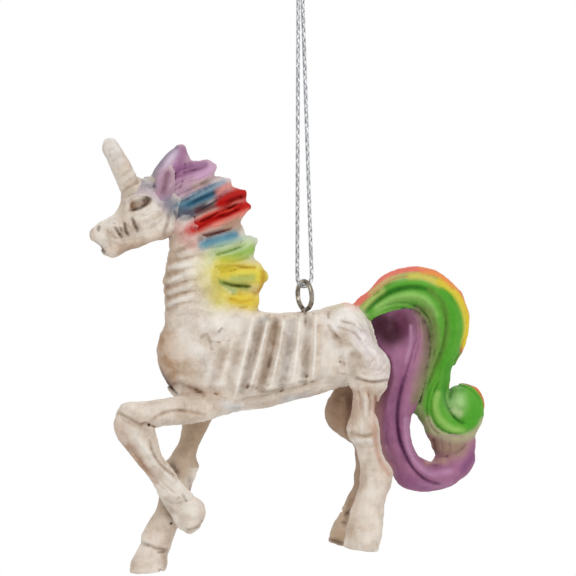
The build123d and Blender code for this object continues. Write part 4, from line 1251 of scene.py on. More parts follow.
@dataclass
class Tail(SubAssembly):
    """The tail: a green lock that ends in a curl, its red to yellow rim, and the purple lock."""

    width: float = 11.4
    rim_width: float = 3.0
    curl_px: Pixel = (464.5, 405.5)
    curl_radii_px: Pixel = (19.8, 20.6)
    curl_share: float = 0.72

    def curl(self) -> tuple[Array, Array]:
        """Returns the curl's flattened ball.

        Its point is centre + radii times (cos^0.5 r cos t, sin^0.8 r, cos^0.5 r sin t).
        """
        rings, around = 33, 48
        rise = np.linspace(-math.pi / 2, math.pi / 2, rings)[:, None]
        turn = np.linspace(0, math.tau, around, endpoint=False)[None]
        reach = np.maximum(np.cos(rise), 1e-4) ** 0.5
        deep = np.sign(rise) * np.abs(np.sin(rise)) ** 0.8
        unit = np.stack([reach * np.cos(turn), deep + 0 * turn, reach * np.sin(turn)], axis=-1)
        across, tall = (radius * VIEW.pixel for radius in self.curl_radii_px)
        centre = VIEW.seen(np.float64(self.curl_px[0]), np.float64(self.curl_px[1]), np.float64(0))
        points = centre + unit * np.array([across, self.width * self.curl_share / 2, tall])
        return points.reshape(-1, 3), grid_quads(rings, around)

    def forms(self) -> list[Form]:
        """Returns the green strand, the rim and the purple lock; the ball is added to the strand."""
        green = [
            (356, 308, 362, 322), (373, 292, 379, 314), (389, 278, 393, 309), (406, 272, 407, 307),
            (426, 273, 416, 311), (447, 284, 424, 321), (460, 303, 428, 333), (465, 324, 428, 346),
            (460, 344, 426, 358), (453, 361, 422, 371), (450, 378, 416, 389), (449, 392, 412, 406),
            (450, 403, 419, 418.5), (455, 411, 431, 433), (460, 414, 446, 438), (466, 414, 463, 438),
            (470, 411, 476, 431), (471, 406, 483, 419),
        ]
        green_shares = [
            0.5, 0.66, 0.8, 0.9, 0.96, 1.0, 1.0, 0.96, 0.9, 0.84, 0.8, 0.78, 0.76, 0.76, 0.74, 0.72, 0.68,
            0.54,
        ]
        rim = [
            (354, 303.5, 358, 310), (370, 288, 376, 295), (387, 273, 391, 283), (405, 267, 406, 278),
            (428, 268, 425, 279), (451, 280, 443, 289), (465, 300.5, 455, 307), (470, 322, 460, 325),
            (465.5, 345, 458, 343), (456, 364, 452, 361),
        ]
        purple = [
            (380, 309, 412, 306), (369, 315, 419, 313), (366, 325, 425, 325), (367, 343, 428, 345),
            (373, 362, 426, 366),
            (379, 383, 421, 391), (375, 402, 413, 409), (373, 420, 410, 423), (376, 441, 411, 441),
            (386, 463, 416, 453), (404, 488, 424, 460), (430, 492, 432, 463), (455, 485.5, 436, 459),
            (473, 469, 435.5, 453), (476, 450, 431.5, 444), (473, 434, 429, 434),
        ]
        purple_shares = [
            0.4, 0.6, 0.82, 0.92, 0.94, 0.94, 0.9, 0.88, 0.86, 0.86, 0.86, 0.84, 0.82, 0.78, 0.72, 0.66,
        ]
        return [
            Form("tail_green_lock", Region.TAIL, green, self.width, green_shares, blend=1.6),
            Form("tail_rim_lock", Region.RIM, rim, self.rim_width,
                [0.6, 0.8, 1.0, 1.0, 1.0, 1.0, 1.0, 0.9, 0.7, 0.4], blend=1.2, ends=(0.4, 1.0)),
            Form("tail_purple_lock", Region.PURPLE, purple, self.width, purple_shares, blend=3.0),
        ]

    def carving(self) -> list[Cut]:
        """Returns the grooves that sweep along the locks, the curl's crescent and the deep hollow."""
        green = cuts(
            Region.TAIL,
            (1.3, 0.3, [(358, 309), (376, 294), (392, 283), (410, 278.5), (428, 280), (444, 289), (455, 304),
             (460, 322), (457, 342)]),
            (3.0, 0.6, [(364, 312), (377, 300), (390, 292), (405, 288), (421, 288), (434, 293)], 2.4),
            (2.0, 0.4, [(430, 289), (441, 301), (446, 317), (445, 335), (441, 352), (434, 370), (428, 388),
             (424, 404)]),
            (3.2, -0.4, [(374, 309), (390, 299), (408, 295), (423, 298), (434, 309), (438, 324), (436, 345)]),
            (1.0, 0.24, [(371, 314), (388, 305), (405, 303), (418, 307), (428, 317), (432, 332)]),
            (1.0, 0.2, [(373, 319), (389, 310), (404, 308), (415, 312), (423, 321)]),
            (2.6, -0.3, [(452, 296), (458, 316), (456, 338), (448, 358), (441, 378), (439, 400)]),
            (1.2, 0.42, [(446, 371), (437, 386), (432, 401), (432, 415), (437, 426), (448, 433), (462, 434),
             (475, 429)]),
            (1.1, 0.3, [(441, 371), (431, 388), (427.5, 402), (427.5, 416), (432, 428), (443, 437),
             (458, 439)]),
            (1.3, 0.3, [(448, 381), (445.5, 394), (448, 407), (454, 417), (463, 424), (473, 425)]),
            (1.1, 0.3, [(450, 389), (461, 387), (472, 391), (480, 401), (481, 413)]),
            (3.6, 0.5, [(424, 374), (420, 390), (419, 408)]),
            (3.5, -0.3, [(457, 398), (464, 410)], 3.0),
            (1.0, 0.12, [(436, 345), (432, 365), (427, 380)]),
        )
        purple = cuts(
            Region.PURPLE,
            (12.0, 1.6, [(386, 328), (391, 335)], 2.6, 0.0),
            (1.1, 0.34, [(410, 311), (416, 321), (417.5, 334), (413.5, 350), (409, 365), (403.5, 381),
             (400, 397)]),
            (1.1, 0.25, [(415, 314), (420, 326), (420, 341), (415, 358), (411, 374)]),
            (1.7, 0.36, [(403, 383), (398.5, 402), (397.5, 421), (399.5, 438), (404.5, 453), (413, 469),
             (425, 480), (438, 486), (452, 486)]),
            (1.0, 0.2, [(388, 418), (386.5, 438), (391, 456), (399, 472)]),
            (1.0, 0.16, [(382, 436), (384, 452), (392, 466)]),
            (3.6, -0.45, [(408, 398), (405, 424), (409, 448), (419, 466), (435, 477), (456, 475)]),
            (3.0, -0.3, [(392, 350), (394, 375), (388, 400), (386, 420)]),
            (1.0, 0.14, [(400, 482), (413, 488), (427, 489)]),
            (1.0, 0.22, [(434, 438), (436, 448), (437.5, 456)]),
            (0.9, 0.18, [(441, 438), (443, 452)]),
            (0.9, 0.18, [(449, 440), (450, 452), (446, 460)]),
            (1.2, 0.25, [(436, 458), (452, 456), (466, 446), (470, 438)]),
            (1.1, 0.25, [(411, 446), (416, 458), (428, 465), (442, 466)]),
            (0.9, 0.15, [(412, 470), (417, 480)]),
        )
        rim = cuts(
            Region.RIM,
            (1.0, 0.15, [(358, 301), (376, 286), (394, 275), (410, 271), (430, 272), (448, 282)]),
        )
        return green + purple + rim

    def paint_and_light(self) -> list[PaintAndLightSpray]:
        """Returns the greens, with painted shade in their grooves and painted highlights on a ridge and the
        curl, the rim's run from red to yellow, and the purples with their painted shadow and highlights.
        """
        green = paint_and_light_sprays(
            (Region.TAIL, Region.RIM),
            ("#B6D17E", 6.0, 0.8, [(372, 292), (392, 280), (410, 276), (424, 277), (434, 281)]),
            ("#57AA30", 5.0, 0.6, [(386, 288), (408, 283), (428, 285), (444, 298)]),
            ("#4FA42A", 9.0, 0.85, [(446, 296), (453, 322), (450, 344), (444, 364)]),
            # a painted highlight along the lock's raised ridge
            ("#9ACB6B", 7.0, 0.85, [(378, 307), (394, 299), (412, 296), (426, 301), (434, 314)]),
            ("#86BC5A", 5.0, 0.6, [(376, 314), (392, 307), (408, 305), (420, 312)]),
            # painted shade in the green lock's deep groove
            ("#237012", 4.0, 0.92, [(366, 311), (378, 300), (392, 291.5), (408, 287.5), (424, 288.5),
             (432, 292)]),
            # painted shade in the groove along the lock's inner side
            ("#658F36", 5.0, 0.75, [(430, 290), (442, 302), (447, 320), (446, 340), (438, 362)]),
            ("#4C7424", 1.8, 0.4, [(441, 306), (446, 320), (444, 342), (436, 364)]),
            ("#C6CF7A", 5.0, 0.75, [(362, 308), (372, 298), (382, 290)]),
            ("#D9BFA8", 9, 0.8, [(356, 312), (362, 320)]),
            ("#93A96A", 9, 0.85, [(428, 314), (433, 338), (429, 358), (424, 372)]),
            ("#99A46E", 7.0, 0.85, [(424, 374), (419, 392), (419, 408), (426, 422)]),
            # painted shade in the groove beside the purple lock
            ("#5A6B2E", 2.6, 0.7, [(428, 372), (423, 386), (419, 400)]),
            ("#45952A", 6.5, 0.6, [(451, 362), (446, 380), (442, 394)]),
            ("#9BCB66", 5.0, 0.85, [(438, 394), (436, 408), (441, 420), (452, 429), (464, 431)]),
            # painted shade in the curl's groove
            ("#3B8A24", 3.2, 0.75, [(446, 388), (446, 402), (453, 415), (464, 422)]),
            # painted highlights on the curl's ball
            ("#B2D792", 14, 0.95, [(457, 401)]),
            ("#C0CF9A", 6, 0.7, [(454, 410), (460, 414)]),
            ("#54A830", 9.5, 0.9, [(475, 398), (477, 412), (470, 425)]),
            ("#C3BE98", 4.0, 0.9, [(429, 419), (436, 430), (448, 437), (464, 438), (477, 432), (484, 420)]),
            ("#E0703F", 3.0, 0.97, [(453, 382), (458, 382), (470, 383), (480, 391), (486, 402), (487, 412)],
             0.4),
            # painted shade in the groove under the curl's rim
            ("#9E4B2A", 1.4, 0.6, [(449, 386), (460, 383), (472, 386)]),
        )
        rim = paint_and_light_sprays(
            (Region.RIM, Region.TAIL),
            ("#E4CE5A", 5.0, 0.8, [(410, 276), (424, 276.5), (440, 284)]),
            ("#EBD43A", 5.0, 0.97, [(440, 281), (454, 291), (464, 307), (468, 326), (465, 346)], 0.3),
            ("#F0A04E", 5.0, 0.9, [(424, 271), (440, 275), (454, 286)]),
            ("#EC9A4A", 2.8, 0.9, [(456, 281), (468, 297), (473.5, 316), (473, 336)]),
            ("#EC7F70", 5.4, 0.98, [(350, 303), (370, 286), (390, 271.5), (412, 266.5), (426, 267.5)], 0.4),
            ("#EE8F5E", 3.6, 0.9, [(420, 267.5), (438, 271), (450, 279), (460, 288)]),
            ("#54A32C", 9, 0.95, [(458, 356), (454, 364)]),
            ("#D05C50", 1.8, 0.5, [(360, 304), (378, 289), (394, 279), (408, 276)]),
        )
        purple = paint_and_light_sprays(
            (Region.PURPLE, Region.NEAR_HIND),
            ("#D2AC98", 4.0, 0.9, [(376, 398), (374.5, 420), (376, 444), (381, 462), (389, 474)]),
        ) + paint_and_light_sprays(
            (Region.PURPLE,),
            ("#A67F84", 9, 0.85, [(422, 318), (427, 342), (423, 364), (416, 384)]),
            ("#8F7A62", 5, 0.85, [(424, 322), (429, 344), (425, 366), (418, 386), (414, 402)]),
            # painted shadow in the purple lock's deep hollow, and painted shade beside it
            ("#3F1624", 21, 0.97, [(380, 324), (390, 333), (398, 326)], 0.25),
            ("#6B3350", 9, 0.7, [(400, 316), (406, 330)]),
            ("#A87393", 7, 0.7, [(398, 350), (396, 366)]),
            # a painted highlight along a strand
            ("#BC8CAA", 2.4, 0.7, [(411, 326), (411, 342), (406, 362)]),
            # painted shade in the purple lock's long groove
            ("#74406A", 5.0, 0.75, [(404, 378), (399, 398), (397, 420), (400, 440), (408, 460)]),
            ("#5A2A4E", 2.4, 0.85, [(402, 386), (398, 404), (397.5, 422), (400, 440), (406, 455), (414, 469),
             (426, 480), (440, 485)]),
            # a painted highlight on the purple lock's raised ridge
            ("#C08CB0", 5.0, 0.85, [(407, 420), (408, 444), (416, 462), (430, 473), (450, 472)]),
            ("#9E6A92", 7, 0.6, [(392, 400), (388, 420), (388, 440)]),
            ("#BE92B0", 2.4, 0.5, [(386, 446), (392, 458)]),
            ("#C79AA0", 5.0, 0.8, [(380, 396), (379, 420), (381, 444), (387, 462), (395, 474)]),
            ("#965C88", 8, 0.7, [(398, 474), (412, 484), (430, 487)]),
            ("#B37FA0", 3.0, 0.7, [(420, 484), (436, 487.5), (452, 484)]),
            ("#B88E8C", 8, 0.8, [(446, 460), (462, 452), (470, 440)]),
            ("#C9A294", 5, 0.8, [(428, 463), (444, 461)]),
            ("#8A5480", 6, 0.8, [(464, 470), (474, 456)]),
        )
        purple += paint_and_light_sprays(
            (Region.PURPLE, Region.TAIL),
            ("#A18672", 12, 0.97, [(432, 442), (444, 448), (458, 447)], 0.3),
            ("#B9B48E", 6.0, 0.95, [(428, 426), (435, 433), (448, 438), (464, 439), (478, 432)]),
            # painted shade in a groove at the curl's end
            ("#6A4F44", 2.2, 0.7, [(434, 440), (437, 454)]),
            ("#8A9060", 6.0, 0.9, [(419, 309), (428, 319), (433, 336), (431, 360), (425, 381), (420, 399)],
             0.1),
            ("#9A7F76", 4.6, 0.75, [(415, 310), (423.5, 321), (427, 338), (425, 360), (419, 381),
             (413, 398)]),
            ("#7FA04C", 4.0, 0.6, [(424, 309), (434, 320), (438.5, 337), (436, 360), (430, 381)]),
        )
        return green + rim + purple


# Finishes


def add_node(
    tree: bpy.types.NodeTree, kind: str, inputs: dict | None = None, **settings: Any
) -> bpy.types.Node:
    """Adds a node to a material.

    Args:
        tree: the material's node tree.
        kind: the node's type name.
        inputs: what each input gets: an output socket is linked, anything else is set.
        settings: the node's own properties.

    Returns:
        The new node.
    """
    node = tree.nodes.new(kind)
    for name, value in settings.items():
        setattr(node, name, value)
    for name, value in (inputs or {}).items():
        if isinstance(value, bpy.types.NodeSocket):
            tree.links.new(value, node.inputs[name])
        else:
            node.inputs[name].default_value = value
    return node


def maths(tree: bpy.types.NodeTree, kind: str, *values: Any, clamp: bool = False) -> bpy.types.NodeSocket:
    """Returns the result of a calculation with up to three sockets or numbers."""
    return add_node(
        tree, "ShaderNodeMath", dict(enumerate(values)), operation=kind, use_clamp=clamp
    ).outputs[0]


def cloudy(
    tree: bpy.types.NodeTree, place: bpy.types.NodeSocket, size_mm: float, detail: float,
    roughness: float = 0.5,
) -> bpy.types.NodeSocket:
    """Returns a cloudy value whose patches are about as large as a real size."""
    return add_node(
        tree, "ShaderNodeTexNoise",
        {"Vector": place, "Scale": per_metre(size_mm), "Detail": detail, "Roughness": roughness},
    ).outputs["Fac"]


def mixed(tree: bpy.types.NodeTree, factor: Any, first: Any, second: Any, kind: str) -> bpy.types.NodeSocket:
    """Returns the colour that mixes two colours by a factor, in the given blend mode."""
    return add_node(
        tree, "ShaderNodeMix", {0: factor, 6: first, 7: second}, data_type="RGBA", blend_type=kind
    ).outputs[2]


def range_of(
    tree: bpy.types.NodeTree, value: Any, low: float, high: float, start: float, end: float
) -> bpy.types.NodeSocket:
    """Returns a value moved from one range to another, clamped."""
    return add_node(
        tree, "ShaderNodeMapRange",
        {"Value": value, "From Min": low, "From Max": high, "To Min": start, "To Max": end},
    ).outputs["Result"]


def bumped(
    tree: bpy.types.NodeTree, height: bpy.types.NodeSocket, strength: float, depth_mm: float
) -> bpy.types.NodeSocket:
    """Returns the surface direction that a height of some real depth gives."""
    return add_node(
        tree, "ShaderNodeBump", {"Height": height, "Strength": strength, "Distance": depth_mm * MM}
    ).outputs["Normal"]


def principled(tree: bpy.types.NodeTree, inputs: dict) -> None:
    """Adds the surface shader with its inputs, and links it to the material's output."""
    shader = add_node(tree, "ShaderNodeBsdfPrincipled", inputs)
    add_node(tree, "ShaderNodeOutputMaterial", {"Surface": shader.outputs["BSDF"]})


def blank_material(name: str) -> tuple[bpy.types.Material, bpy.types.NodeTree]:
    """Returns a new material and its empty node tree."""
    material = bpy.data.materials.new(name)
    material.use_nodes = True
    material.node_tree.nodes.clear()
    return material, material.node_tree


def per_metre(size_mm: float) -> float:
    """Returns the texture scale whose pattern repeats at a real size in millimetres."""
    return 1 / (size_mm * MM)


@dataclass(frozen=True)
class ResinPaint:
    """Cast polyresin under matt acrylic, airbrushed, antiqued brown in the creases and dry-brushed.

    It gives the eye a dry, slightly waxy skin: soft highlights, brown that pools in every line,
    lighter ridges, and a fine cast grain with a few pin holes. The brown in the lines is partly the
    real antiquing and partly painted shade; the lighter ridges are partly dry-brushing and partly
    painted highlight.
    """

    name: str
    base: str
    # the crease colour: brown antiquing and painted shade; the ridge colour: dry-brushing and painted
    # highlight
    stain_and_shade: str
    ridge: str
    uneven: float = 1.0
    gloss: float = 0.3
    # pooling: how dark the creases get, as antiquing and painted shade; dusting: how much ridges are
    # lightened, as dry-brushing and painted highlight, and patches at random
    pooling: float = 0.6
    dusting: float = 1.0
    roughness: float = 0.54
    cloud_mm: float = 6.5
    mottle_mm: float = 2.4
    grain_mm: float = 0.32
    brush_mm: float = 0.9
    wrinkle_mm: float = 2.1
    wander_mm: float = 0.7
    pinhole_mm: float = 1.5
    relief_mm: float = 0.14

    def material(self) -> bpy.types.Material:
        """Returns the finish; it reads the casting's paint and its attributes of antiquing with painted
        shade and of dry-brushing with painted highlight.
        """
        material, tree = blank_material(self.name)
        place = add_node(tree, "ShaderNodeTexCoord").outputs["Object"]
        paint = add_node(tree, "ShaderNodeAttribute", attribute_name="paint").outputs["Color"]
        wash_and_shade = add_node(tree, "ShaderNodeAttribute", attribute_name="wash_and_shade").outputs["Fac"]
        wear_and_highlight = add_node(tree, "ShaderNodeAttribute", attribute_name="wear_and_highlight").outputs["Fac"]
        cloud, mottle, brush, grain = (
            cloudy(tree, place, size, detail, 0.6)
            for size, detail in (
                (self.cloud_mm, 4.0), (self.mottle_mm, 5.0), (self.brush_mm, 4.0), (self.grain_mm, 3.0)
            )
        )
        bent = add_node(
            tree, "ShaderNodeMapRange",
            {
                "Value": mottle, "From Min": 0.0, "From Max": 1.0,
                "To Min": -self.wander_mm * MM, "To Max": self.wander_mm * MM,
            },
        ).outputs["Result"]
        shifted = add_node(tree, "ShaderNodeVectorMath", {0: place, 1: bent}, operation="ADD").outputs[0]
        edge = add_node(
            tree, "ShaderNodeTexVoronoi",
            {"Vector": shifted, "Scale": per_metre(self.wrinkle_mm)}, feature="DISTANCE_TO_EDGE",
        ).outputs["Distance"]
        line = maths(
            tree, "MULTIPLY",
            range_of(tree, edge, 0.0, 0.05, 1.0, 0.0), range_of(tree, cloud, 0.48, 0.6, 0.0, 1.0),
        )
        tone = range_of(tree, mottle, 0.32, 0.68, 1 - 0.13 * self.uneven, 1 + 0.05 * self.uneven)
        toned = mixed(tree, 1.0, paint, tone, "MULTIPLY")
        # the crease colour, laid below in the creases and fine lines as brown antiquing and painted shade
        shade = mixed(tree, 1.0, toned, linear(self.stain_and_shade), "MULTIPLY")
        smeared = mixed(tree, range_of(tree, cloud, 0.42, 0.7, 0.0, 0.4 * self.uneven), toned, shade, "MIX")
        pooled = maths(tree, "MULTIPLY", wash_and_shade, range_of(tree, brush, 0.35, 0.65, 0.6, 1.25), clamp=True)
        lined = maths(tree, "MULTIPLY_ADD", line, 0.3 * self.uneven, pooled, clamp=True)
        washed_and_shaded = mixed(tree, lined, smeared, shade, "MIX")
        deep = mixed(tree, 1.0, shade, linear(self.stain_and_shade), "MULTIPLY")
        washed_and_shaded = mixed(tree, range_of(tree, pooled, 0.6, 1.1, 0.0, self.pooling), washed_and_shaded, deep, "MIX")
        # ridges lightened towards the ridge colour: dry-brushing and painted highlight
        caught = range_of(tree, brush, 0.4, 0.62, 0.2 * self.dusting, self.dusting)
        touched = maths(tree, "MULTIPLY", wear_and_highlight, caught, clamp=True)
        ridged = mixed(tree, touched, washed_and_shaded, linear(self.ridge), "MIX")
        dusted = mixed(
            tree, range_of(tree, cloud, 0.5, 0.36, 0.0, 0.3 * self.uneven * self.dusting),
            ridged, linear(self.ridge), "MIX",
        )
        # pin holes: small specks of the crease colour, partly antiquing and partly painted shade
        specks = add_node(
            tree, "ShaderNodeTexVoronoi",
            {"Vector": place, "Scale": per_metre(self.pinhole_mm), "Randomness": 1.0},
        ).outputs["Distance"]
        coloured = mixed(tree, range_of(tree, specks, 0.05, 0.1, 0.45, 0.0), dusted, shade, "MIX")
        sheen = range_of(tree, mottle, 0.3, 0.7, self.roughness - 0.06, self.roughness + 0.1)
        relief = maths(tree, "MULTIPLY_ADD", grain, 0.5, brush)
        relief = maths(tree, "MULTIPLY_ADD", line, -0.6, relief)
        bump = bumped(tree, relief, 0.35, self.relief_mm)
        principled(tree, {
            "Base Color": coloured, "Roughness": sheen, "IOR": 1.5,
            "Specular IOR Level": self.gloss, "Normal": bump,
        })
        return material


@dataclass(frozen=True)
class NickelledSteel:
    """Nickel-plated steel wire, drawn and bent: grey with warm tarnish, scuffed along its length."""

    name: str = "Nickel-plated steel wire"
    bright: str = "#A79F94"
    tarnish: str = "#4B3D31"
    roughness: float = 0.26
    tarnish_mm: float = 1.6
    scuff_mm: float = 0.15
    scuff_depth_mm: float = 0.05

    def material(self) -> bpy.types.Material:
        """Returns the finish."""
        material, tree = blank_material(self.name)
        place = add_node(tree, "ShaderNodeTexCoord").outputs["Object"]
        cloud = cloudy(tree, place, self.tarnish_mm, 5.0)
        scuff = cloudy(tree, place, self.scuff_mm, 2.0)
        amount = range_of(tree, cloud, 0.42, 0.62, 0.0, 0.9)
        colour = mixed(tree, amount, linear(self.bright), linear(self.tarnish), "MIX")
        rough = range_of(tree, cloud, 0.4, 0.65, self.roughness, self.roughness + 0.16)
        bump = bumped(tree, scuff, 0.1, self.scuff_depth_mm)
        principled(tree, {"Base Color": colour, "Metallic": 1.0, "Roughness": rough, "Normal": bump})
        return material


@dataclass(frozen=True)
class MetallisedYarn:
    """Metallised polyester yarn, braided: flat bright filaments, with painted shade in the gaps between
    them and on yarns that pass under, and patches of painted glint along them.
    """

    name: str = "Silver metallised polyester braid"
    bright: str = "#E8E9EB"
    dark: str = "#6A6D71"
    filaments: float = 7.0
    roughness: float = 0.3
    twist_per_mm: float = 0.8
    filament_light: float = 0.12
    filament_depth_mm: float = 0.03

    def material(self) -> bpy.types.Material:
        """Returns the finish; u of the yarn's own map goes round it and v along it, in millimetres."""
        material, tree = blank_material(self.name)
        where = add_node(tree, "ShaderNodeUVMap", uv_map="yarn").outputs["UV"]
        split = add_node(tree, "ShaderNodeSeparateXYZ", {"Vector": where})
        # stripes of painted light and shade across the filaments, turning along the yarn
        twist = maths(tree, "MULTIPLY_ADD", split.outputs["Y"], self.twist_per_mm, split.outputs["X"])
        wave = maths(tree, "SINE", maths(tree, "MULTIPLY", twist, self.filaments * math.tau))
        # the braid's painted light: lighter where a yarn passes over, darker where it passes under
        depth = add_node(tree, "ShaderNodeAttribute", attribute_name="depth").outputs["Fac"]
        noise = add_node(
            tree, "ShaderNodeTexNoise", {"Vector": where, "Scale": 1.3, "Detail": 2.0}
        ).outputs["Fac"]
        shade = maths(tree, "MULTIPLY_ADD", wave, self.filament_light, depth, clamp=True)
        # painted glints: patches along the yarn made brighter or darker
        glint = range_of(tree, noise, 0.3, 0.7, 0.35, 1.15)
        lit = maths(tree, "MULTIPLY", shade, glint, clamp=True)
        colour = mixed(tree, lit, linear(self.dark), linear(self.bright), "MIX")
        bump = bumped(tree, wave, 0.5, self.filament_depth_mm)
        principled(tree, {"Base Color": colour, "Metallic": 0.9, "Roughness": self.roughness, "Normal": bump})
        return material


@dataclass(frozen=True)
class Palette:
    """The figure's finishes by the record's slot, each with its base colour under the spray."""

    finishes: dict[str, ResinPaint] = field(
        default_factory=lambda: {
            slot: ResinPaint(f"Painted polyresin, {words}", base, stain_and_shade, ridge, *more)
            for slot, words, base, stain_and_shade, ridge, *more in (
                # the crease colour lies in the creases as brown antiquing and painted shade, and the ridge
                # colour lightens the ridges as dry-brushing and painted highlight
                ("bone_resin", "bone", BONE, "#B3967D", "#F8F2EA", 1.0, 0.3, 0.6, 1.0),
                # shaded bone: a darker copy of the bone, painted shade for the far legs
                ("shaded_resin", "shaded bone", SHADED_FAR_BONE, "#AC917A", "#E6DACA", 0.8, 0.2, 0.4, 0.6),
                ("lilac_resin", "lilac", BONE, "#B394B2", "#DCC0D2", 0.6, 0.12, 0.3, 0.5),
                ("blue_resin", "blue grey", BONE, "#949CB4", "#A8C2CE", 0.6, 0.1, 0.25, 0.4),
                ("red_resin", "red", BONE, "#BC8888", "#CC3426", 0.4, 0.03, 0.25, 0.25),
                ("teal_resin", "teal", BONE, "#A6BEC4", "#BFDCD8", 0.6, 0.12, 0.25, 0.4),
                ("leaf_resin", "leaf green", BONE, "#B4C69C", "#D2E2AC", 0.6, 0.12, 0.25, 0.5),
                ("yellow_resin", "yellow", BONE, "#D2C08E", "#F2E48E", 0.6, 0.12, 0.25, 0.5),
                ("green_resin", "green", "#5CA832", "#94B688", "#A8D07C", 0.4, 0.12, 0.25, 0.4),
                ("coral_resin", "coral rim", "#E8796A", "#B8705C", "#F6AE98", 0.3, 0.12, 0.2, 0.3),
                ("purple_resin", "purple", "#A66E8E", "#A686A8", "#C49AB2", 0.5, 0.14, 0.25, 0.4),
            )
        }
    )


# The clay


@dataclass
class Band:
    """The voxels next to the surface in one region, ordered by how far down the picture they show."""

    index: Array
    px: Array
    py: Array


class Clay:
    """A block of voxels in which the forms are joined, carved and then parted again.

    Each voxel holds its signed distance to the surface in millimetres, negative inside. A solid
    casting has soft fillets where its forms meet, which loose surfaces can't show. That is why
    the forms' surfaces are turned into distances, joined here and meshed again.
    """

    REACH = 2.4
    BAND = 1.5
    OWN_FILLET = 1.2
    MARK_SEED = 7
    MARK_SIZES = (25.0, 17.0, 12.0, 9.0, 6.5, 4.6, 3.4)
    MARKS_OF_A_SIZE = 3
    MARK_BEND = 1.3
    MARK_BEND_RATE = 0.37
    MARK_DEPTH = 0.0013
    BOX_PASSES = 2
    BOX_SHRINK = 1.6

    def __init__(self, forms: Sequence[Form], extra: dict[str, tuple[Array, Array]], voxel: float) -> None:
        """Joins the forms.

        Args:
            forms: every form, the large ones first.
            extra: further surfaces, joined to the form of that node.
            voxel: the voxels' size in millimetres.
        """
        self.forms = list(forms)
        self.voxel = voxel
        surfaces = [form.surface() for form in self.forms]
        everything = np.concatenate([s[0] for s in surfaces] + [s[0] for s in extra.values()])
        self.low = everything.min(axis=0) - self.REACH - voxel
        size = np.ceil((everything.max(axis=0) + self.REACH + voxel - self.low) / voxel).astype(int) + 1
        self.body = np.full(size, self.REACH, np.float32)
        self.nearest = self.body.copy()
        self.second = self.body.copy()
        self.owner = np.full(size, -1, np.int8)
        self.distances: list[tuple[tuple[slice, ...], Array]] = []
        for number, (form, surface) in enumerate(zip(self.forms, surfaces)):
            more = [extra[form.node]] if form.node in extra else []
            self.join(number, form, [surface, *more])

    @staticmethod
    def fillet(first: Array, second: Array, size: float) -> Array:
        """Returns the lower distance, less (size - difference)^2 / (4 size) where they are close."""
        lower = np.minimum(first, second)
        return lower - np.maximum(size - np.abs(first - second), 0) ** 2 / (4 * size) if size else lower

    def join(self, number: int, form: Form, surfaces: list[tuple[Array, Array]]) -> None:
        """Joins one form, of one or more surfaces, to the clay."""
        points = np.concatenate([s[0] for s in surfaces])
        low = np.floor((points.min(axis=0) - self.REACH - self.low) / self.voxel).astype(int)
        high = np.ceil((points.max(axis=0) + self.REACH - self.low) / self.voxel).astype(int) + 1
        low, high = np.maximum(low, 0), np.minimum(high, self.body.shape)
        window = tuple(slice(a, b) for a, b in zip(low, high))
        part = np.full(high - low, self.REACH, np.float32)
        for vertices, quads in surfaces:
            grid = vdb.FloatGrid.createLevelSetFromPolygons(
                (vertices - self.low).astype(np.float32),
                quads=quads.astype(np.uint32),
                transform=vdb.createLinearTransform(voxelSize=self.voxel),
                halfWidth=self.REACH / self.voxel,
            )
            one = np.empty_like(part)
            grid.copyToArray(one, ijk=tuple(int(v) for v in low))
            part = self.fillet(part, one, self.OWN_FILLET)
        here = self.body[window]
        joined = self.fillet(here, part, form.blend)
        self.body[window] = joined
        nearest = self.nearest[window]
        closer = part < nearest
        self.second[window] = np.where(closer, nearest, np.minimum(self.second[window], part))
        self.nearest[window] = np.where(closer, part, nearest)
        self.owner[window][closer] = number
        self.distances.append((window, part))

    def soften(self, passes: int) -> None:
        """Rounds the clay a little: each pass averages a voxel with its neighbours, 1-2-1."""
        for _ in range(passes):
            for axis in range(3):
                body = np.moveaxis(self.body, axis, 0)
                body[1:-1] = body[1:-1] * 0.5 + (body[:-2] + body[2:]) * 0.25

    def middles(self, region: Region) -> tuple[Array, Array]:
        """Returns heights, rising, and the middle plane's y at each, for the forms of a region."""
        stations = np.concatenate([f.stations() for f in self.forms if f.region is region])
        order = np.argsort(stations[:, 2])
        return stations[order, 2], stations[order, 1]

    def place_in_picture(self, region: Region, points: Array) -> tuple[Array, Array]:
        """Returns the pixels of points, both faces of the region folded on to the near one."""
        heights, middles = self.middles(region)
        return VIEW.shown(points, np.interp(points[:, 2], heights, middles))

    def bands(self) -> dict[Region, Band]:
        """Returns the voxels near the surface, by region."""
        flat = np.flatnonzero(np.abs(self.body) < self.BAND)
        regions = np.array([list(Region).index(form.region) for form in self.forms])
        owners = self.owner.reshape(-1)[flat]
        region_of = np.where(owners >= 0, regions[owners], -1)
        bands = {}
        for number, region in enumerate(Region):
            index = flat[region_of == number]
            grid = np.stack(np.unravel_index(index, self.body.shape), axis=1)
            px, py = self.place_in_picture(region, self.low + grid * self.voxel)
            order = np.argsort(py)
            bands[region] = Band(index[order], px[order], py[order])
        return bands

    def carve(self, lines: Iterable[Cut]) -> None:
        """Moves the surface in under each cut, and out under each raised line."""
        bands = self.bands()
        change = {region: np.zeros(len(band.index)) for region, band in bands.items()}
        for cut in lines:
            path, reach = cut.path(), cut.reach()
            for region in cut.regions:
                band = bands[region]
                first, last = np.searchsorted(band.py, [path[:, 1].min() - reach, path[:, 1].max() + reach])
                px, py = band.px[first:last], band.py[first:last]
                near = np.flatnonzero((px > path[:, 0].min() - reach) & (px < path[:, 0].max() + reach))
                distance, share, hand = distance_along(px[near], py[near], path)
                change[region][first + near] += cut.depth * cut.profile(distance, share, hand)
        flat = self.body.reshape(-1)
        for region, band in bands.items():
            flat[band.index] += (change[region] + self.tool_marks(band)).astype(np.float32)

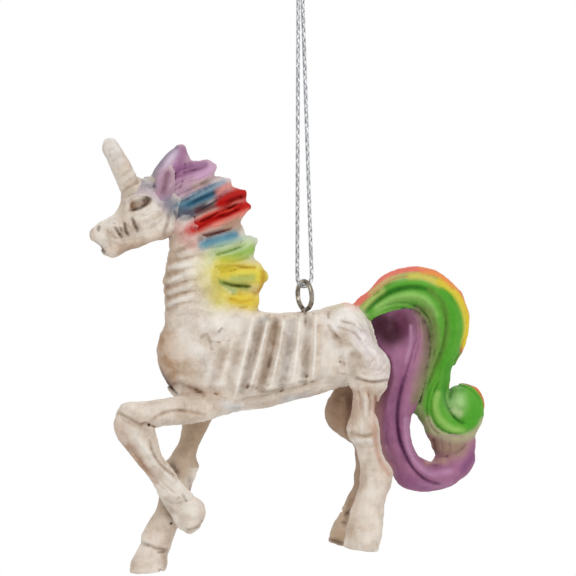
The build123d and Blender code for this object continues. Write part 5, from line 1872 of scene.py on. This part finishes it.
    def tool_marks(self, band: Band) -> Array:
        """Returns the unevenness of hand modelling: a seeded sum of sines 3 to 25 pixels long."""
        random = np.random.default_rng(self.MARK_SEED)
        marks = np.zeros(len(band.index))
        for size in self.MARK_SIZES:
            for _ in range(self.MARKS_OF_A_SIZE):
                angle, phase = random.uniform(0, math.tau, 2)
                wave = (band.px * math.cos(angle) + band.py * math.sin(angle)) * math.tau / size + phase
                marks += np.sin(wave + self.MARK_BEND * np.sin(wave * self.MARK_BEND_RATE + phase)) * size
        return marks * self.MARK_DEPTH

    def fullness(self, radius: float) -> Array:
        """Returns how full of clay each voxel's neighbourhood is: half on a flat, more in a crease."""
        full = np.clip(0.5 - self.body / self.voxel, 0, 1)
        reach = max(1, round(radius / self.voxel / self.BOX_SHRINK))
        for _ in range(self.BOX_PASSES):
            for axis in range(3):
                ends = [(reach + 1, reach) if a == axis else (0, 0) for a in range(3)]
                total = np.cumsum(np.pad(full, ends), axis=axis, dtype=np.float32)
                ahead = np.take(total, np.arange(2 * reach + 1, total.shape[axis]), axis=axis)
                behind = np.take(total, np.arange(0, total.shape[axis] - 2 * reach - 1), axis=axis)
                full = (ahead - behind) / (2 * reach + 1)
        return full

    def sample(self, volume: Array, points: Array) -> Array:
        """Returns a volume's values at points, weighted linearly between the eight voxels around."""
        place = (points - self.low) / self.voxel
        corner = np.clip(np.floor(place).astype(int), 0, np.array(volume.shape) - 2)
        share = place - corner
        total = np.zeros(len(points))
        for x in (0, 1):
            for y in (0, 1):
                for z in (0, 1):
                    along_x, along_y, along_z = (np.abs(1 - k - share[:, a]) for a, k in enumerate((x, y, z)))
                    total += along_x * along_y * along_z * volume[corner[:, 0] + x, corner[:, 1] + y,
                        corner[:, 2] + z]
        return total

    def piece(self, number: int) -> tuple[Array, Array]:
        """Parts one form's piece from the joined clay.

        The piece keeps the joined surface where its own form is the nearest. Past the halfway
        line to the next form it sinks below that form's piece, so no gap or doubled skin shows.

        Returns:
            The closed mesh's points in millimetres, and its quads, turned outwards.
        """
        window, part = self.distances[number]
        others = np.where(self.owner[window] == number, self.second[window], self.nearest[window])
        values = self.body[window] + np.maximum((part - others) / 2, 0)
        for axis in range(3):
            edge = np.moveaxis(values, axis, 0)
            edge[0] = edge[-1] = self.voxel
        grid = vdb.FloatGrid(self.REACH)
        grid.transform = vdb.createLinearTransform(voxelSize=self.voxel)
        grid.copyFromArray(np.ascontiguousarray(values, dtype=np.float32), ijk=tuple(s.start for s in window))
        points, quads = grid.convertToQuads(isovalue=0.0)
        points, quads = drop_crumbs(points.astype(np.float64), quads.astype(np.int64))
        return points + self.low, outward(points, quads)


def outward(points: Array, quads: Array) -> Array:
    """Returns the quads turned outwards, by the sign of the volume that they enclose."""
    a, b, c, d = (points[quads[:, k]] for k in range(4))
    volume = np.einsum("ij,ij->", a, np.cross(b, c)) + np.einsum("ij,ij->", a, np.cross(c, d))
    return quads if volume > 0 else quads[:, ::-1]


def drop_crumbs(points: Array, quads: Array, least: int = 60) -> tuple[Array, Array]:
    """Removes islands of fewer quads than least; an island's number is its lowest vertex."""
    label = np.arange(len(points))
    pairs = np.concatenate([quads[:, [k, (k + 1) % 4]] for k in range(4)])
    while True:
        lowest = np.minimum(label[pairs[:, 0]], label[pairs[:, 1]])
        new = label.copy()
        np.minimum.at(new, pairs[:, 0], lowest)
        np.minimum.at(new, pairs[:, 1], lowest)
        new = new[new]
        if np.array_equal(new, label):
            break
        label = new
    counts = np.bincount(label[quads[:, 0]], minlength=len(points))
    keep = counts[label[quads[:, 0]]] >= least
    quads = quads[keep]
    used = np.unique(quads)
    renumber = np.zeros(len(points), np.int64)
    renumber[used] = np.arange(len(used))
    return points[used], renumber[quads]


def mesh_object(name: str, points_mm: Array, quads: Array) -> bpy.types.Object:
    """Makes an object at the origin from points in millimetres and quads, and links it.

    Args:
        name: the object's name.
        points_mm: the vertices.
        quads: four vertex numbers for each face.

    Returns:
        The new object.
    """
    mesh = bpy.data.meshes.new(name)
    mesh.vertices.add(len(points_mm))
    mesh.vertices.foreach_set("co", (points_mm * MM).astype(np.float32).ravel())
    mesh.loops.add(quads.size)
    mesh.loops.foreach_set("vertex_index", quads.astype(np.int32).ravel())
    mesh.polygons.add(len(quads))
    mesh.polygons.foreach_set("loop_start", np.arange(0, quads.size, 4, dtype=np.int32))
    mesh.update(calc_edges=True)
    mesh.polygons.foreach_set("use_smooth", np.ones(len(quads), bool))
    mesh.validate()
    made = bpy.data.objects.new(name, mesh)
    bpy.context.collection.objects.link(made)
    return made


def set_attribute(mesh: bpy.types.Mesh, name: str, kind: str, key: str, values: Array) -> None:
    """Writes one value, or one colour, for each vertex."""
    layer = mesh.attributes.new(name, kind, "POINT")
    layer.data.foreach_set(key, values.astype(np.float32).ravel())


@dataclass(frozen=True)
class WashWearAndLight:
    """Brown antiquing in the creases, partly real and partly painted shade, and lighter ridges, partly
    dry-brushing and partly painted highlight, from how full the clay's neighbourhood is.

    Each is share * ramp(fullness, low, high), summed for the fine and the broad neighbourhood.
    Deep colours are lightened less on the ridges: by steady - fall * (1 - the smallest of red, green
    and blue), kept between least and 1. That is the colour's spread, as its alpha is 1.
    """

    fine_wash_and_shade: tuple[float, float, float] = (0.66, 0.52, 0.72)
    broad_wash_and_shade: tuple[float, float, float] = (0.36, 0.51, 0.7)
    fine_wear_and_light: tuple[float, float, float] = (0.6, -0.485, -0.38)
    broad_wear_and_light: tuple[float, float, float] = (0.25, -0.45, -0.3)
    steady: float = 1.35
    fall: float = 2.2
    least: float = 0.12

    @staticmethod
    def weighted(fullness: Array, row: tuple[float, float, float]) -> Array:
        """Returns the share that one neighbourhood adds."""
        share, low, high = row
        return share * ramp(fullness, low, high)

    def wash_and_shade(self, fine: Array, broad: Array) -> Array:
        """Returns how much brown antiquing and painted shade lies at each vertex, more in a crease."""
        return np.clip(self.weighted(fine, self.fine_wash_and_shade) + self.weighted(broad, self.broad_wash_and_shade), 0, 1)

    def wear_and_highlight(self, fine: Array, broad: Array, colour: Array) -> Array:
        """Returns how much each vertex is dry-brushed and given a painted highlight, more on a ridge."""
        wear_and_highlight = self.weighted(-fine, self.fine_wear_and_light) + self.weighted(-broad, self.broad_wear_and_light)
        return wear_and_highlight * np.clip(self.steady - self.fall * np.ptp(colour, axis=1), self.least, 1)


@dataclass
class Figurine:
    """The casting: its sub-assemblies sculpted together, and parted into the frame's pieces."""

    parts: list[SubAssembly] = field(
        default_factory=lambda: [Trunk(), NeckAndHead(), Mane(), ForeLegs(), HindLegs(), Tail()]
    )
    palette: Palette = field(default_factory=Palette)
    wash_wear_and_light: WashWearAndLight = field(default_factory=WashWearAndLight)
    voxel: float = 0.22
    fine_radius: float = 0.55
    broad_radius: float = 1.8
    soft_passes: int = 2
    spray_reach: float = 1.5

    def colours(self, clay: Clay, form: Form, points: Array, base: str, passes: list[PaintAndLightSpray]) -> Array:
        """Returns each vertex's colour: the slot's base with the passes of paint, painted shade and highlight
        over it.
        """
        px, py = clay.place_in_picture(form.region, points)
        colour = np.tile(np.array(linear(base)), (len(points), 1))
        for spray in passes:
            if form.region not in spray.regions:
                continue
            path = spray.path()
            reach = self.spray_reach * spray.radius
            low, high = path.min(axis=0) - reach, path.max(axis=0) + reach
            near = np.flatnonzero((px > low[0]) & (px < high[0]) & (py > low[1]) & (py < high[1]))
            if not len(near):
                continue
            cover = spray.cover(distance_along(px[near], py[near], path)[0])
            colour[near] += (np.array(linear(spray.colour)) - colour[near]) * cover[:, None]
        return colour

    def build(self) -> None:
        """Sculpts, carves, parts and paints the casting, and seats every piece on its body."""
        forms = [form for part in self.parts for form in part.forms()]
        lines = [cut for part in self.parts for cut in part.carving()]
        lines += [cut for form in forms for cut in form.carved_strands()]
        passes = [spray for part in self.parts for spray in part.paint_and_light()]
        tail = next(part for part in self.parts if isinstance(part, Tail))
        clay = Clay(forms, {"tail_green_lock": tail.curl()}, self.voxel)
        log.info("clay of %s voxels", "x".join(str(n) for n in clay.body.shape))
        clay.soften(self.soft_passes)
        clay.carve(lines)
        fine, broad = clay.fullness(self.fine_radius), clay.fullness(self.broad_radius)
        slots = node_slots()
        materials = {slot: finish.material() for slot, finish in self.palette.finishes.items()}
        for number, form in enumerate(forms):
            points, quads = clay.piece(number)
            slot = slots[form.node]
            finish = self.palette.finishes[slot]
            piece = mesh_object(f"cast_{form.node}", points, quads)
            hollow, wide = clay.sample(fine, points), clay.sample(broad, points)
            colour = self.colours(clay, form, points, finish.base, passes)
            set_attribute(piece.data, "paint", "FLOAT_COLOR", "color", colour)
            # creases get brown antiquing, partly painted shade, and ridges get dry-brushing, partly painted
            # highlight
            set_attribute(piece.data, "wash_and_shade", "FLOAT", "value", self.wash_wear_and_light.wash_and_shade(hollow, wide))
            set_attribute(piece.data, "wear_and_highlight", "FLOAT", "value", self.wash_wear_and_light.wear_and_highlight(hollow, wide, colour))
            piece.data.materials.append(materials[slot])
            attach(piece, "figurine")
            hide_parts(form.node)
            log.info("%s: %d quads", piece.name, len(quads))


def node_slots() -> dict[str, str]:
    """Returns the record's material slot of each node."""
    return {part["node"]: part["material_slot"] for part in frame["record"]["subparts"]}


# The eye, the cord and its knot


@dataclass
class Hanger:
    """The plane in which the ring's axis and the cord's strands lie."""

    ring_turn: float = 9.5

    def across(self) -> Array:
        """Returns the ring's axis, along which the two strands stand apart."""
        turn = math.radians(self.ring_turn)
        return np.array([math.cos(turn), math.sin(turn), 0.0])

    def along(self) -> Array:
        """Returns the level direction in the ring's own plane."""
        turn = math.radians(self.ring_turn)
        return np.array([-math.sin(turn), math.cos(turn), 0.0])


def tube(
    path: Array, side: Array, radius: Array, around: int, closing: float = 0.001
) -> tuple[Array, Array, Array]:
    """Carries a round profile along a path.

    The point at station s and angle v is path(s) + radius(s, v) * (cos v * side(s) + sin v *
    (tangent(s) x side(s))), and each end shrinks to its middle in a last ring.

    Args:
        path: points along the path.
        side: a unit vector square to the path at each point.
        radius: the radius at each point, or at each point and angle.
        around: how many points the profile has.
        closing: the radius of the last ring at each end.

    Returns:
        The points, the quads and the outward directions.
    """
    tangent = np.gradient(path, axis=0)
    tangent /= np.linalg.norm(tangent, axis=1)[:, None]
    side = side - tangent * np.einsum("ij,ij->i", side, tangent)[:, None]
    side /= np.linalg.norm(side, axis=1)[:, None]
    third = np.cross(tangent, side)
    angle = np.linspace(0, math.tau, around, endpoint=False)
    out = side[:, None] * np.cos(angle)[None, :, None] + third[:, None] * np.sin(angle)[None, :, None]
    radius = np.broadcast_to(radius if radius.ndim == 2 else radius[:, None], out.shape[:2])
    rings = path[:, None] + out * radius[..., None]
    caps = [np.broadcast_to(path[k], rings[:1].shape) + out[k][None] * closing for k in (0, -1)]
    points = np.concatenate([caps[0], rings, caps[1]]).reshape(-1, 3)
    quads = grid_quads(len(rings) + 2, around)
    return points, quads, np.concatenate([out[:1], out, out[-1:]]).reshape(-1, 3)


@dataclass
class ScrewEye:
    """The wire ring whose shank is screwed into the back."""

    hanger: Hanger
    ring_radius: float = 3.25
    wire_radius: float = 0.55
    shank_radius: float = 0.8
    centre_z: float = -70.75
    shank_end_z: float = -83.8
    thread_pitch: float = 0.75
    thread_depth: float = 0.14
    thread_fade: float = 0.8
    tip_share: float = 0.35
    around: int = 20

    RING_FROM_TO = (-62, 254)
    RING_POINTS = 60
    SHANK_TOP = -5.0
    SHANK_POINTS = 40
    BEND = ((0.02, -4.6), (0.12, -4.15), (0.42, -3.72), (0.9, -3.3))
    PER_SPAN = 4
    NECK_FROM_TO = (73.9, 75.0)
    THREAD_FROM_TO = (75.2, 75.9)
    TIP_FROM_TO = (-0.05, 1.0)

    def build(self) -> None:
        """Bends one wire: up the shank, round the ring and back to the shank's top."""
        angles = np.radians(np.linspace(*self.RING_FROM_TO, self.RING_POINTS))
        ring = np.stack([np.cos(angles), np.sin(angles)], axis=1) * self.ring_radius
        low = self.shank_end_z - self.centre_z
        rising = np.linspace(low, self.SHANK_TOP, self.SHANK_POINTS)
        shank = np.stack([np.zeros(self.SHANK_POINTS), rising], axis=1)
        flat = spline_through(np.concatenate([shank, np.array(self.BEND), ring]), self.PER_SPAN)
        path = self.hanger.along() * flat[:, :1] + np.array([0, 0, 1.0]) * (flat[:, 1:] + self.centre_z)
        height = path[:, 2]
        on_shank = np.arange(len(path)) < self.PER_SPAN * (self.SHANK_POINTS + 2)
        neck = np.where(on_shank, ramp(-height, *self.NECK_FROM_TO), 0.0)
        radius = self.wire_radius + (self.shank_radius - self.wire_radius) * neck
        angle = np.linspace(0, math.tau, self.around, endpoint=False)
        turn = height[:, None] / self.thread_pitch * math.tau + angle[None]
        end = self.shank_end_z
        threaded = ramp(-height, *self.THREAD_FROM_TO) * ramp(height, end, end + self.thread_fade)
        cut = np.where(on_shank, threaded, 0.0)
        thread = self.thread_depth * (0.5 - 0.5 * np.cos(turn)) ** 2 * cut[:, None]
        tip = np.where(on_shank, ramp(height, *(end + step for step in self.TIP_FROM_TO)), 1.0)
        full = self.tip_share + (1 - self.tip_share) * tip[:, None]
        side = np.tile(self.hanger.across(), (len(path), 1))
        points, quads, _ = tube(path, side, (radius[:, None] - thread) * full, self.around)
        eye = mesh_object("wire_screw_eye", points, outward(points, quads))
        eye.data.materials.append(NickelledSteel().material())
        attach(eye, "eye")
        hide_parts("screw_eye")
        log.info("%s: %d quads", eye.name, len(quads))


@dataclass
class Braid:
    """A tubular braid of flat yarns, half of them winding each way, over one and under one."""

    radius: float = 0.5
    yarns_each_way: int = 3
    pitch: float = 6.6
    wave: float = 0.07
    yarn_width: float = 0.27
    yarn_thickness: float = 0.12
    profile: int = 8
    core_share: float = 0.8
    cap_share: float = 0.01
    map_step: float = 0.7
    middle_light: float = 0.62
    swing_light: float = 0.38

    def strands(self, path: Array, side: Array) -> tuple[Array, Array, Array, Array]:
        """Works out the braid on a path.

        Yarn i winds at the angle 2 pi (s / pitch + i / n), or its negative, at the radius
        R + a cos(2 pi n s / pitch), or R - a cos(...), so that it passes over and under in turn.

        Args:
            path: the cord's centreline, evenly spaced.
            side: a unit vector square to it at each point.

        Returns:
            Points, quads, the map of each vertex in turns and millimetres, and its painted light from
            its height in the braid: lighter where its yarn passes over, darker where it passes under,
            none on the core.
        """
        tangent = np.gradient(path, axis=0)
        tangent /= np.linalg.norm(tangent, axis=1)[:, None]
        third = np.cross(tangent, side)
        along = np.concatenate([[0.0], np.cumsum(np.linalg.norm(np.diff(path, axis=0), axis=1))])
        swing = self.wave * np.cos(math.tau * self.yarns_each_way * along / self.pitch)
        middle = self.radius - self.yarn_thickness - self.wave
        angle = np.linspace(0, math.tau, self.profile, endpoint=False)
        points, quads, where, height, count = [], [], [], [], 0
        for way in (1, -1):
            for number in range(self.yarns_each_way):
                turn = way * math.tau * (along / self.pitch + number / self.yarns_each_way)
                out = side * np.cos(turn)[:, None] + third * np.sin(turn)[:, None]
                reach = middle + way * swing
                line = path + out * reach[:, None]
                run = np.gradient(line, axis=0)
                run /= np.linalg.norm(run, axis=1)[:, None]
                broad = np.cross(run, out)
                broad /= np.linalg.norm(broad, axis=1)[:, None]
                ring = (
                    line[:, None]
                    + broad[:, None] * (self.yarn_width * np.cos(angle))[None, :, None]
                    + out[:, None] * (self.yarn_thickness * np.sin(angle))[None, :, None]
                )
                shut = [line[k] + (ring[k] - line[k])[None] * self.cap_share for k in (0, -1)]
                ring = np.concatenate([shut[0], ring, shut[1]])
                points.append(ring.reshape(-1, 3))
                quads.append(grid_quads(len(ring), self.profile) + count)
                count += len(points[-1])
                stretch = np.concatenate([along[:1], along, along[-1:]])
                turns = np.tile(angle / math.tau, len(ring))
                lengths = np.repeat(stretch, self.profile) + self.map_step * number
                where.append(np.stack([turns, lengths], axis=1))
                # painted light: a yarn is lighter where it passes over and darker where it passes under
                swung = np.concatenate([swing[:1], swing, swing[-1:]])
                above = self.middle_light + self.swing_light * swung * way / self.wave
                height.append(np.repeat(above, self.profile))
        core, core_quads, _ = tube(path, side, np.full(len(path), middle * self.core_share), self.profile)
        points.append(core)
        quads.append(core_quads + count)
        where.append(np.zeros((len(core), 2)))
        # the core gets no painted light, so it shows dark between the yarns
        height.append(np.zeros(len(core)))
        return np.concatenate(points), np.concatenate(quads), np.concatenate(where), np.concatenate(height)


def resampled(path: Array, spacing: float) -> Array:
    """Returns points at an even spacing along a path, ends included."""
    sizes = np.linalg.norm(np.diff(path, axis=0), axis=1)
    along = np.concatenate([[0.0], np.cumsum(sizes)])
    count = max(3, int(round(along[-1] / spacing)) + 1)
    wanted = np.linspace(0, along[-1], count)
    return np.stack([np.interp(wanted, along, path[:, k]) for k in range(3)], axis=1)


def nurbs_line(name: str, points: Sequence[Sequence[float]], resolution: int = 24) -> Array:
    """Returns the points, in metres, of an order-3 spline that has the given control points."""
    curve = bpy.data.curves.new(name, "CURVE")
    curve.dimensions = "3D"
    curve.resolution_u = resolution
    spline = curve.splines.new("NURBS")
    spline.points.add(len(points) - 1)
    for point, place in zip(spline.points, points):
        point.co = (*place, 1.0)
    spline.order_u = 3
    spline.use_endpoint_u = True
    holder = bpy.data.objects.new(name, curve)
    mesh = bpy.data.meshes.new_from_object(holder)
    line = np.empty(len(mesh.vertices) * 3)
    mesh.vertices.foreach_get("co", line)
    bpy.data.objects.remove(holder)
    bpy.data.curves.remove(curve)
    bpy.data.meshes.remove(mesh)
    return line.reshape(-1, 3)


@dataclass
class CordLoop:
    """The doubled metallic cord with its bight in the ring, and the knot that closes the loop."""

    hanger: Hanger
    braid: Braid = field(default_factory=Braid)
    diameter: float = 1.0
    strand_half_top: float = 0.52
    bight_half_width: float = 1.95
    bight_z: float = -68.65
    steady_half_width: float = 1.82
    steady_z: float = -62.65
    spacing: float = 0.15
    knot_top: float = 3.4
    end_length: float = 8.2
    end_lean: float = 12.0
    end_points: int = 60
    knot_middle: float = 1.6
    knot_strand_shift: float = 0.34
    knot_per_span: int = 10

    KNOT_TURNS = (
        (0.0, 0.0, 0.35), (0.62, 0.35, 0.75), (0.75, 0.75, 1.6), (0.05, 1.0, 2.35), (-0.9, 0.55, 2.5),
        (-1.15, -0.35, 1.7), (-0.5, -1.05, 0.95), (0.55, -1.0, 0.95), (1.15, -0.2, 1.6), (0.8, 0.1, 2.4),
        (0.1, -0.1, 2.75),
    )

    def dress(
        self, name: str, pieces: list[tuple[Array, Array, Array, Array]], material: bpy.types.Material
    ) -> bpy.types.Object:
        """Returns one object of several braided runs, with their map and their painted light from the braid.
        """
        count, points, quads = 0, [], []
        for run in pieces:
            points.append(run[0])
            quads.append(run[1] + count)
            count += len(run[0])
        where = np.concatenate([run[2] for run in pieces])
        height = np.concatenate([run[3] for run in pieces])
        all_points, all_quads = np.concatenate(points), np.concatenate(quads)
        made = mesh_object(name, all_points, outward(all_points, all_quads))
        corner = np.empty(len(made.data.loops), np.int32)
        made.data.loops.foreach_get("vertex_index", corner)
        layer = made.data.uv_layers.new(name="yarn")
        layer.data.foreach_set("uv", where[corner].astype(np.float32).ravel())
        set_attribute(made.data, "depth", "FLOAT", "value", height)
        made.data.materials.append(material)
        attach(made, "cord")
        return made

    def knot_runs(self) -> list[tuple[Array, Array, Array, Array]]:
        """Returns the two strands of the overhand knot and the two cut ends above it."""
        a, b, up = self.hanger.across(), self.hanger.along(), np.array([0, 0, 1.0])
        line = np.array([(a * p + b * q + up * r) for p, q, r in self.KNOT_TURNS])
        smooth = resampled(spline_through(line, self.knot_per_span), self.spacing)
        tangent = np.gradient(smooth, axis=0)
        tangent /= np.linalg.norm(tangent, axis=1)[:, None]
        out = smooth - np.array([0, 0, self.knot_middle])
        out -= tangent * np.einsum("ij,ij->i", out, tangent)[:, None]
        out /= np.maximum(np.linalg.norm(out, axis=1), 1e-6)[:, None]
        beside = np.cross(tangent, out)
        shift = self.knot_strand_shift
        runs = [self.braid.strands(smooth + beside * by, out) for by in (-shift, shift)]
        for way in (-1, 1):
            lean = math.radians(self.end_lean) * way
            direction = a * math.sin(lean) + up * math.cos(lean)
            start = a * (self.strand_half_top * way) + up * (self.knot_top / 2)
            share = np.linspace(0, 1, self.end_points)[:, None]
            end = start + direction * self.end_length * share
            runs.append(self.braid.strands(end, np.tile(b, (self.end_points, 1))))
        return runs

    def build(self) -> None:
        a = self.hanger.across()
        flat = [
            (-self.strand_half_top, 0.0),
            (-self.steady_half_width, self.steady_z),
            (-self.bight_half_width, self.bight_z),
            (self.bight_half_width, self.bight_z),
            (self.steady_half_width, self.steady_z),
            (self.strand_half_top, 0.0),
        ]
        route = [(a[0] * p * MM, a[1] * p * MM, z * MM) for p, z in flat]
        line = nurbs_line("cord_route", route)
        path = resampled(line / MM, self.spacing)
        side = np.tile(self.hanger.along(), (len(path), 1))
        material = MetallisedYarn().material()
        cord = self.dress("braided_cord_loop", [self.braid.strands(path, side)], material)
        knot = self.dress("overhand_cord_knot", self.knot_runs(), material)
        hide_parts("hanging_cord")
        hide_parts("cord_knot")


# The studio


@dataclass
class Studio:
    """The camera at the picture's angle, a pale floor far below the hoofs and soft lamps."""

    frame_px: float = 576.0
    distance: float = 4.0
    sensor: float = 36.0
    floor_z: float = -0.25
    world_light: float = 0.55
    floor_radius: float = 0.42
    floor_rings: int = 12
    floor_around: int = 96

    AIM = (0, 0, -0.08)
    LAMPS = (
        ("key_lamp", (-0.35, -0.5, 0.4), 0.45, 2.0),
        ("fill_lamp", (0.55, -0.4, 0.1), 0.5, 1.1),
        ("back_lamp", (0.2, 0.55, 0.35), 0.4, 0.9),
    )

    def camera(self) -> None:
        """Places the camera so that its middle shows the picture's middle, at the same scale."""
        ts, tc, rs, rc, roll_tan = VIEW.angles()
        right, up = Vector((tc, -ts, 0)), Vector((rs * ts, rs * tc, rc))
        back = right.cross(up)
        roll = math.atan(roll_tan)
        x_axis = right * math.cos(roll) - up * math.sin(roll)
        y_axis = right * math.sin(roll) + up * math.cos(roll)
        middle = self.frame_px / 2
        target = Vector(VIEW.seen(np.float64(middle), np.float64(middle), np.float64(0.0))) * MM
        data = bpy.data.cameras.new("camera")
        data.sensor_width = self.sensor
        data.lens = self.sensor * self.distance / (self.frame_px * VIEW.pixel * MM)
        data.clip_start, data.clip_end = 0.01, 20
        made = bpy.data.objects.new("camera", data)
        place = target + back * self.distance
        made.matrix_world = Matrix(
            [[x_axis[k], y_axis[k], back[k], place[k]] for k in range(3)] + [[0, 0, 0, 1]]
        )
        bpy.context.collection.objects.link(made)
        bpy.context.scene.camera = made

    def lamp(self, name: str, place: Sequence[float], size: float, power: float) -> None:
        """Hangs a square soft lamp that faces the figure."""
        data = bpy.data.lights.new(name, "AREA")
        data.shape, data.size, data.energy = "SQUARE", size, power
        made = bpy.data.objects.new(name, data)
        made.location = place
        facing = Vector(self.AIM) - Vector(place)
        made.rotation_euler = facing.to_track_quat("-Z", "Y").to_euler()
        bpy.context.collection.objects.link(made)

    def world(self) -> None:
        """Lights the room softly, and shows plain white to the camera, to metal and through glass."""
        world = bpy.data.worlds.new("studio")
        bpy.context.scene.world = world
        world.use_nodes = True
        tree = world.node_tree
        tree.nodes.clear()
        ray = add_node(tree, "ShaderNodeLightPath").outputs
        sight = ray["Is Camera Ray"]
        for name in ("Is Glossy Ray", "Is Transmission Ray"):
            sight = maths(tree, "MAXIMUM", sight, ray[name])
        strength = range_of(tree, sight, 0.0, 1.0, self.world_light, 1.0)
        shade = add_node(tree, "ShaderNodeBackground", {"Color": (1, 1, 1, 1), "Strength": strength})
        add_node(tree, "ShaderNodeOutputWorld", {"Surface": shade.outputs["Background"]})

    def floor(self) -> None:
        """Lays a round, pale, matt board that keeps the figure's shadow."""
        rings, around = self.floor_rings, self.floor_around
        reach = np.linspace(0.001, self.floor_radius, rings)[:, None]
        angle = np.linspace(0, math.tau, around, endpoint=False)[None]
        points = np.stack(
            [reach * np.cos(angle), reach * np.sin(angle), np.full((rings, around), self.floor_z)], axis=-1
        ).reshape(-1, 3)
        board = mesh_object("floor_board", points / MM, grid_quads(rings, around)[:, ::-1])
        material, tree = blank_material("Pale matt board")
        place = add_node(tree, "ShaderNodeTexCoord").outputs["Object"]
        fibre = cloudy(tree, place, 4.0, 3.0)
        tone = range_of(tree, fibre, 0.3, 0.7, 0.92, 0.95)
        principled(tree, {"Base Color": tone, "Roughness": 0.9})
        board.data.materials.append(material)
        board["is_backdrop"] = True

    def build(self) -> None:
        """Sets up camera, lamps, world and floor, and the plain view transform."""
        self.camera()
        self.world()
        self.floor()
        for lamp in self.LAMPS:
            self.lamp(*lamp)
        bpy.context.scene.view_settings.view_transform = "Standard"


def main() -> None:
    """Builds the studio, the cord, the eye and the figurine, in that order."""
    logging.basicConfig(level=logging.INFO, format="%(name)s: %(message)s")
    cad_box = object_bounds()
    Studio().build()
    hanger = Hanger()
    CordLoop(hanger).build()
    ScrewEye(hanger).build()
    Figurine().build()
    visual_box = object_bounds()
    for name, (low, high) in (("cad", cad_box), ("visual", visual_box)):
        log.info("%s box %s to %s", name, [round(v, 4) for v in low], [round(v, 4) for v in high])


if __name__ == "__main__":
    main()
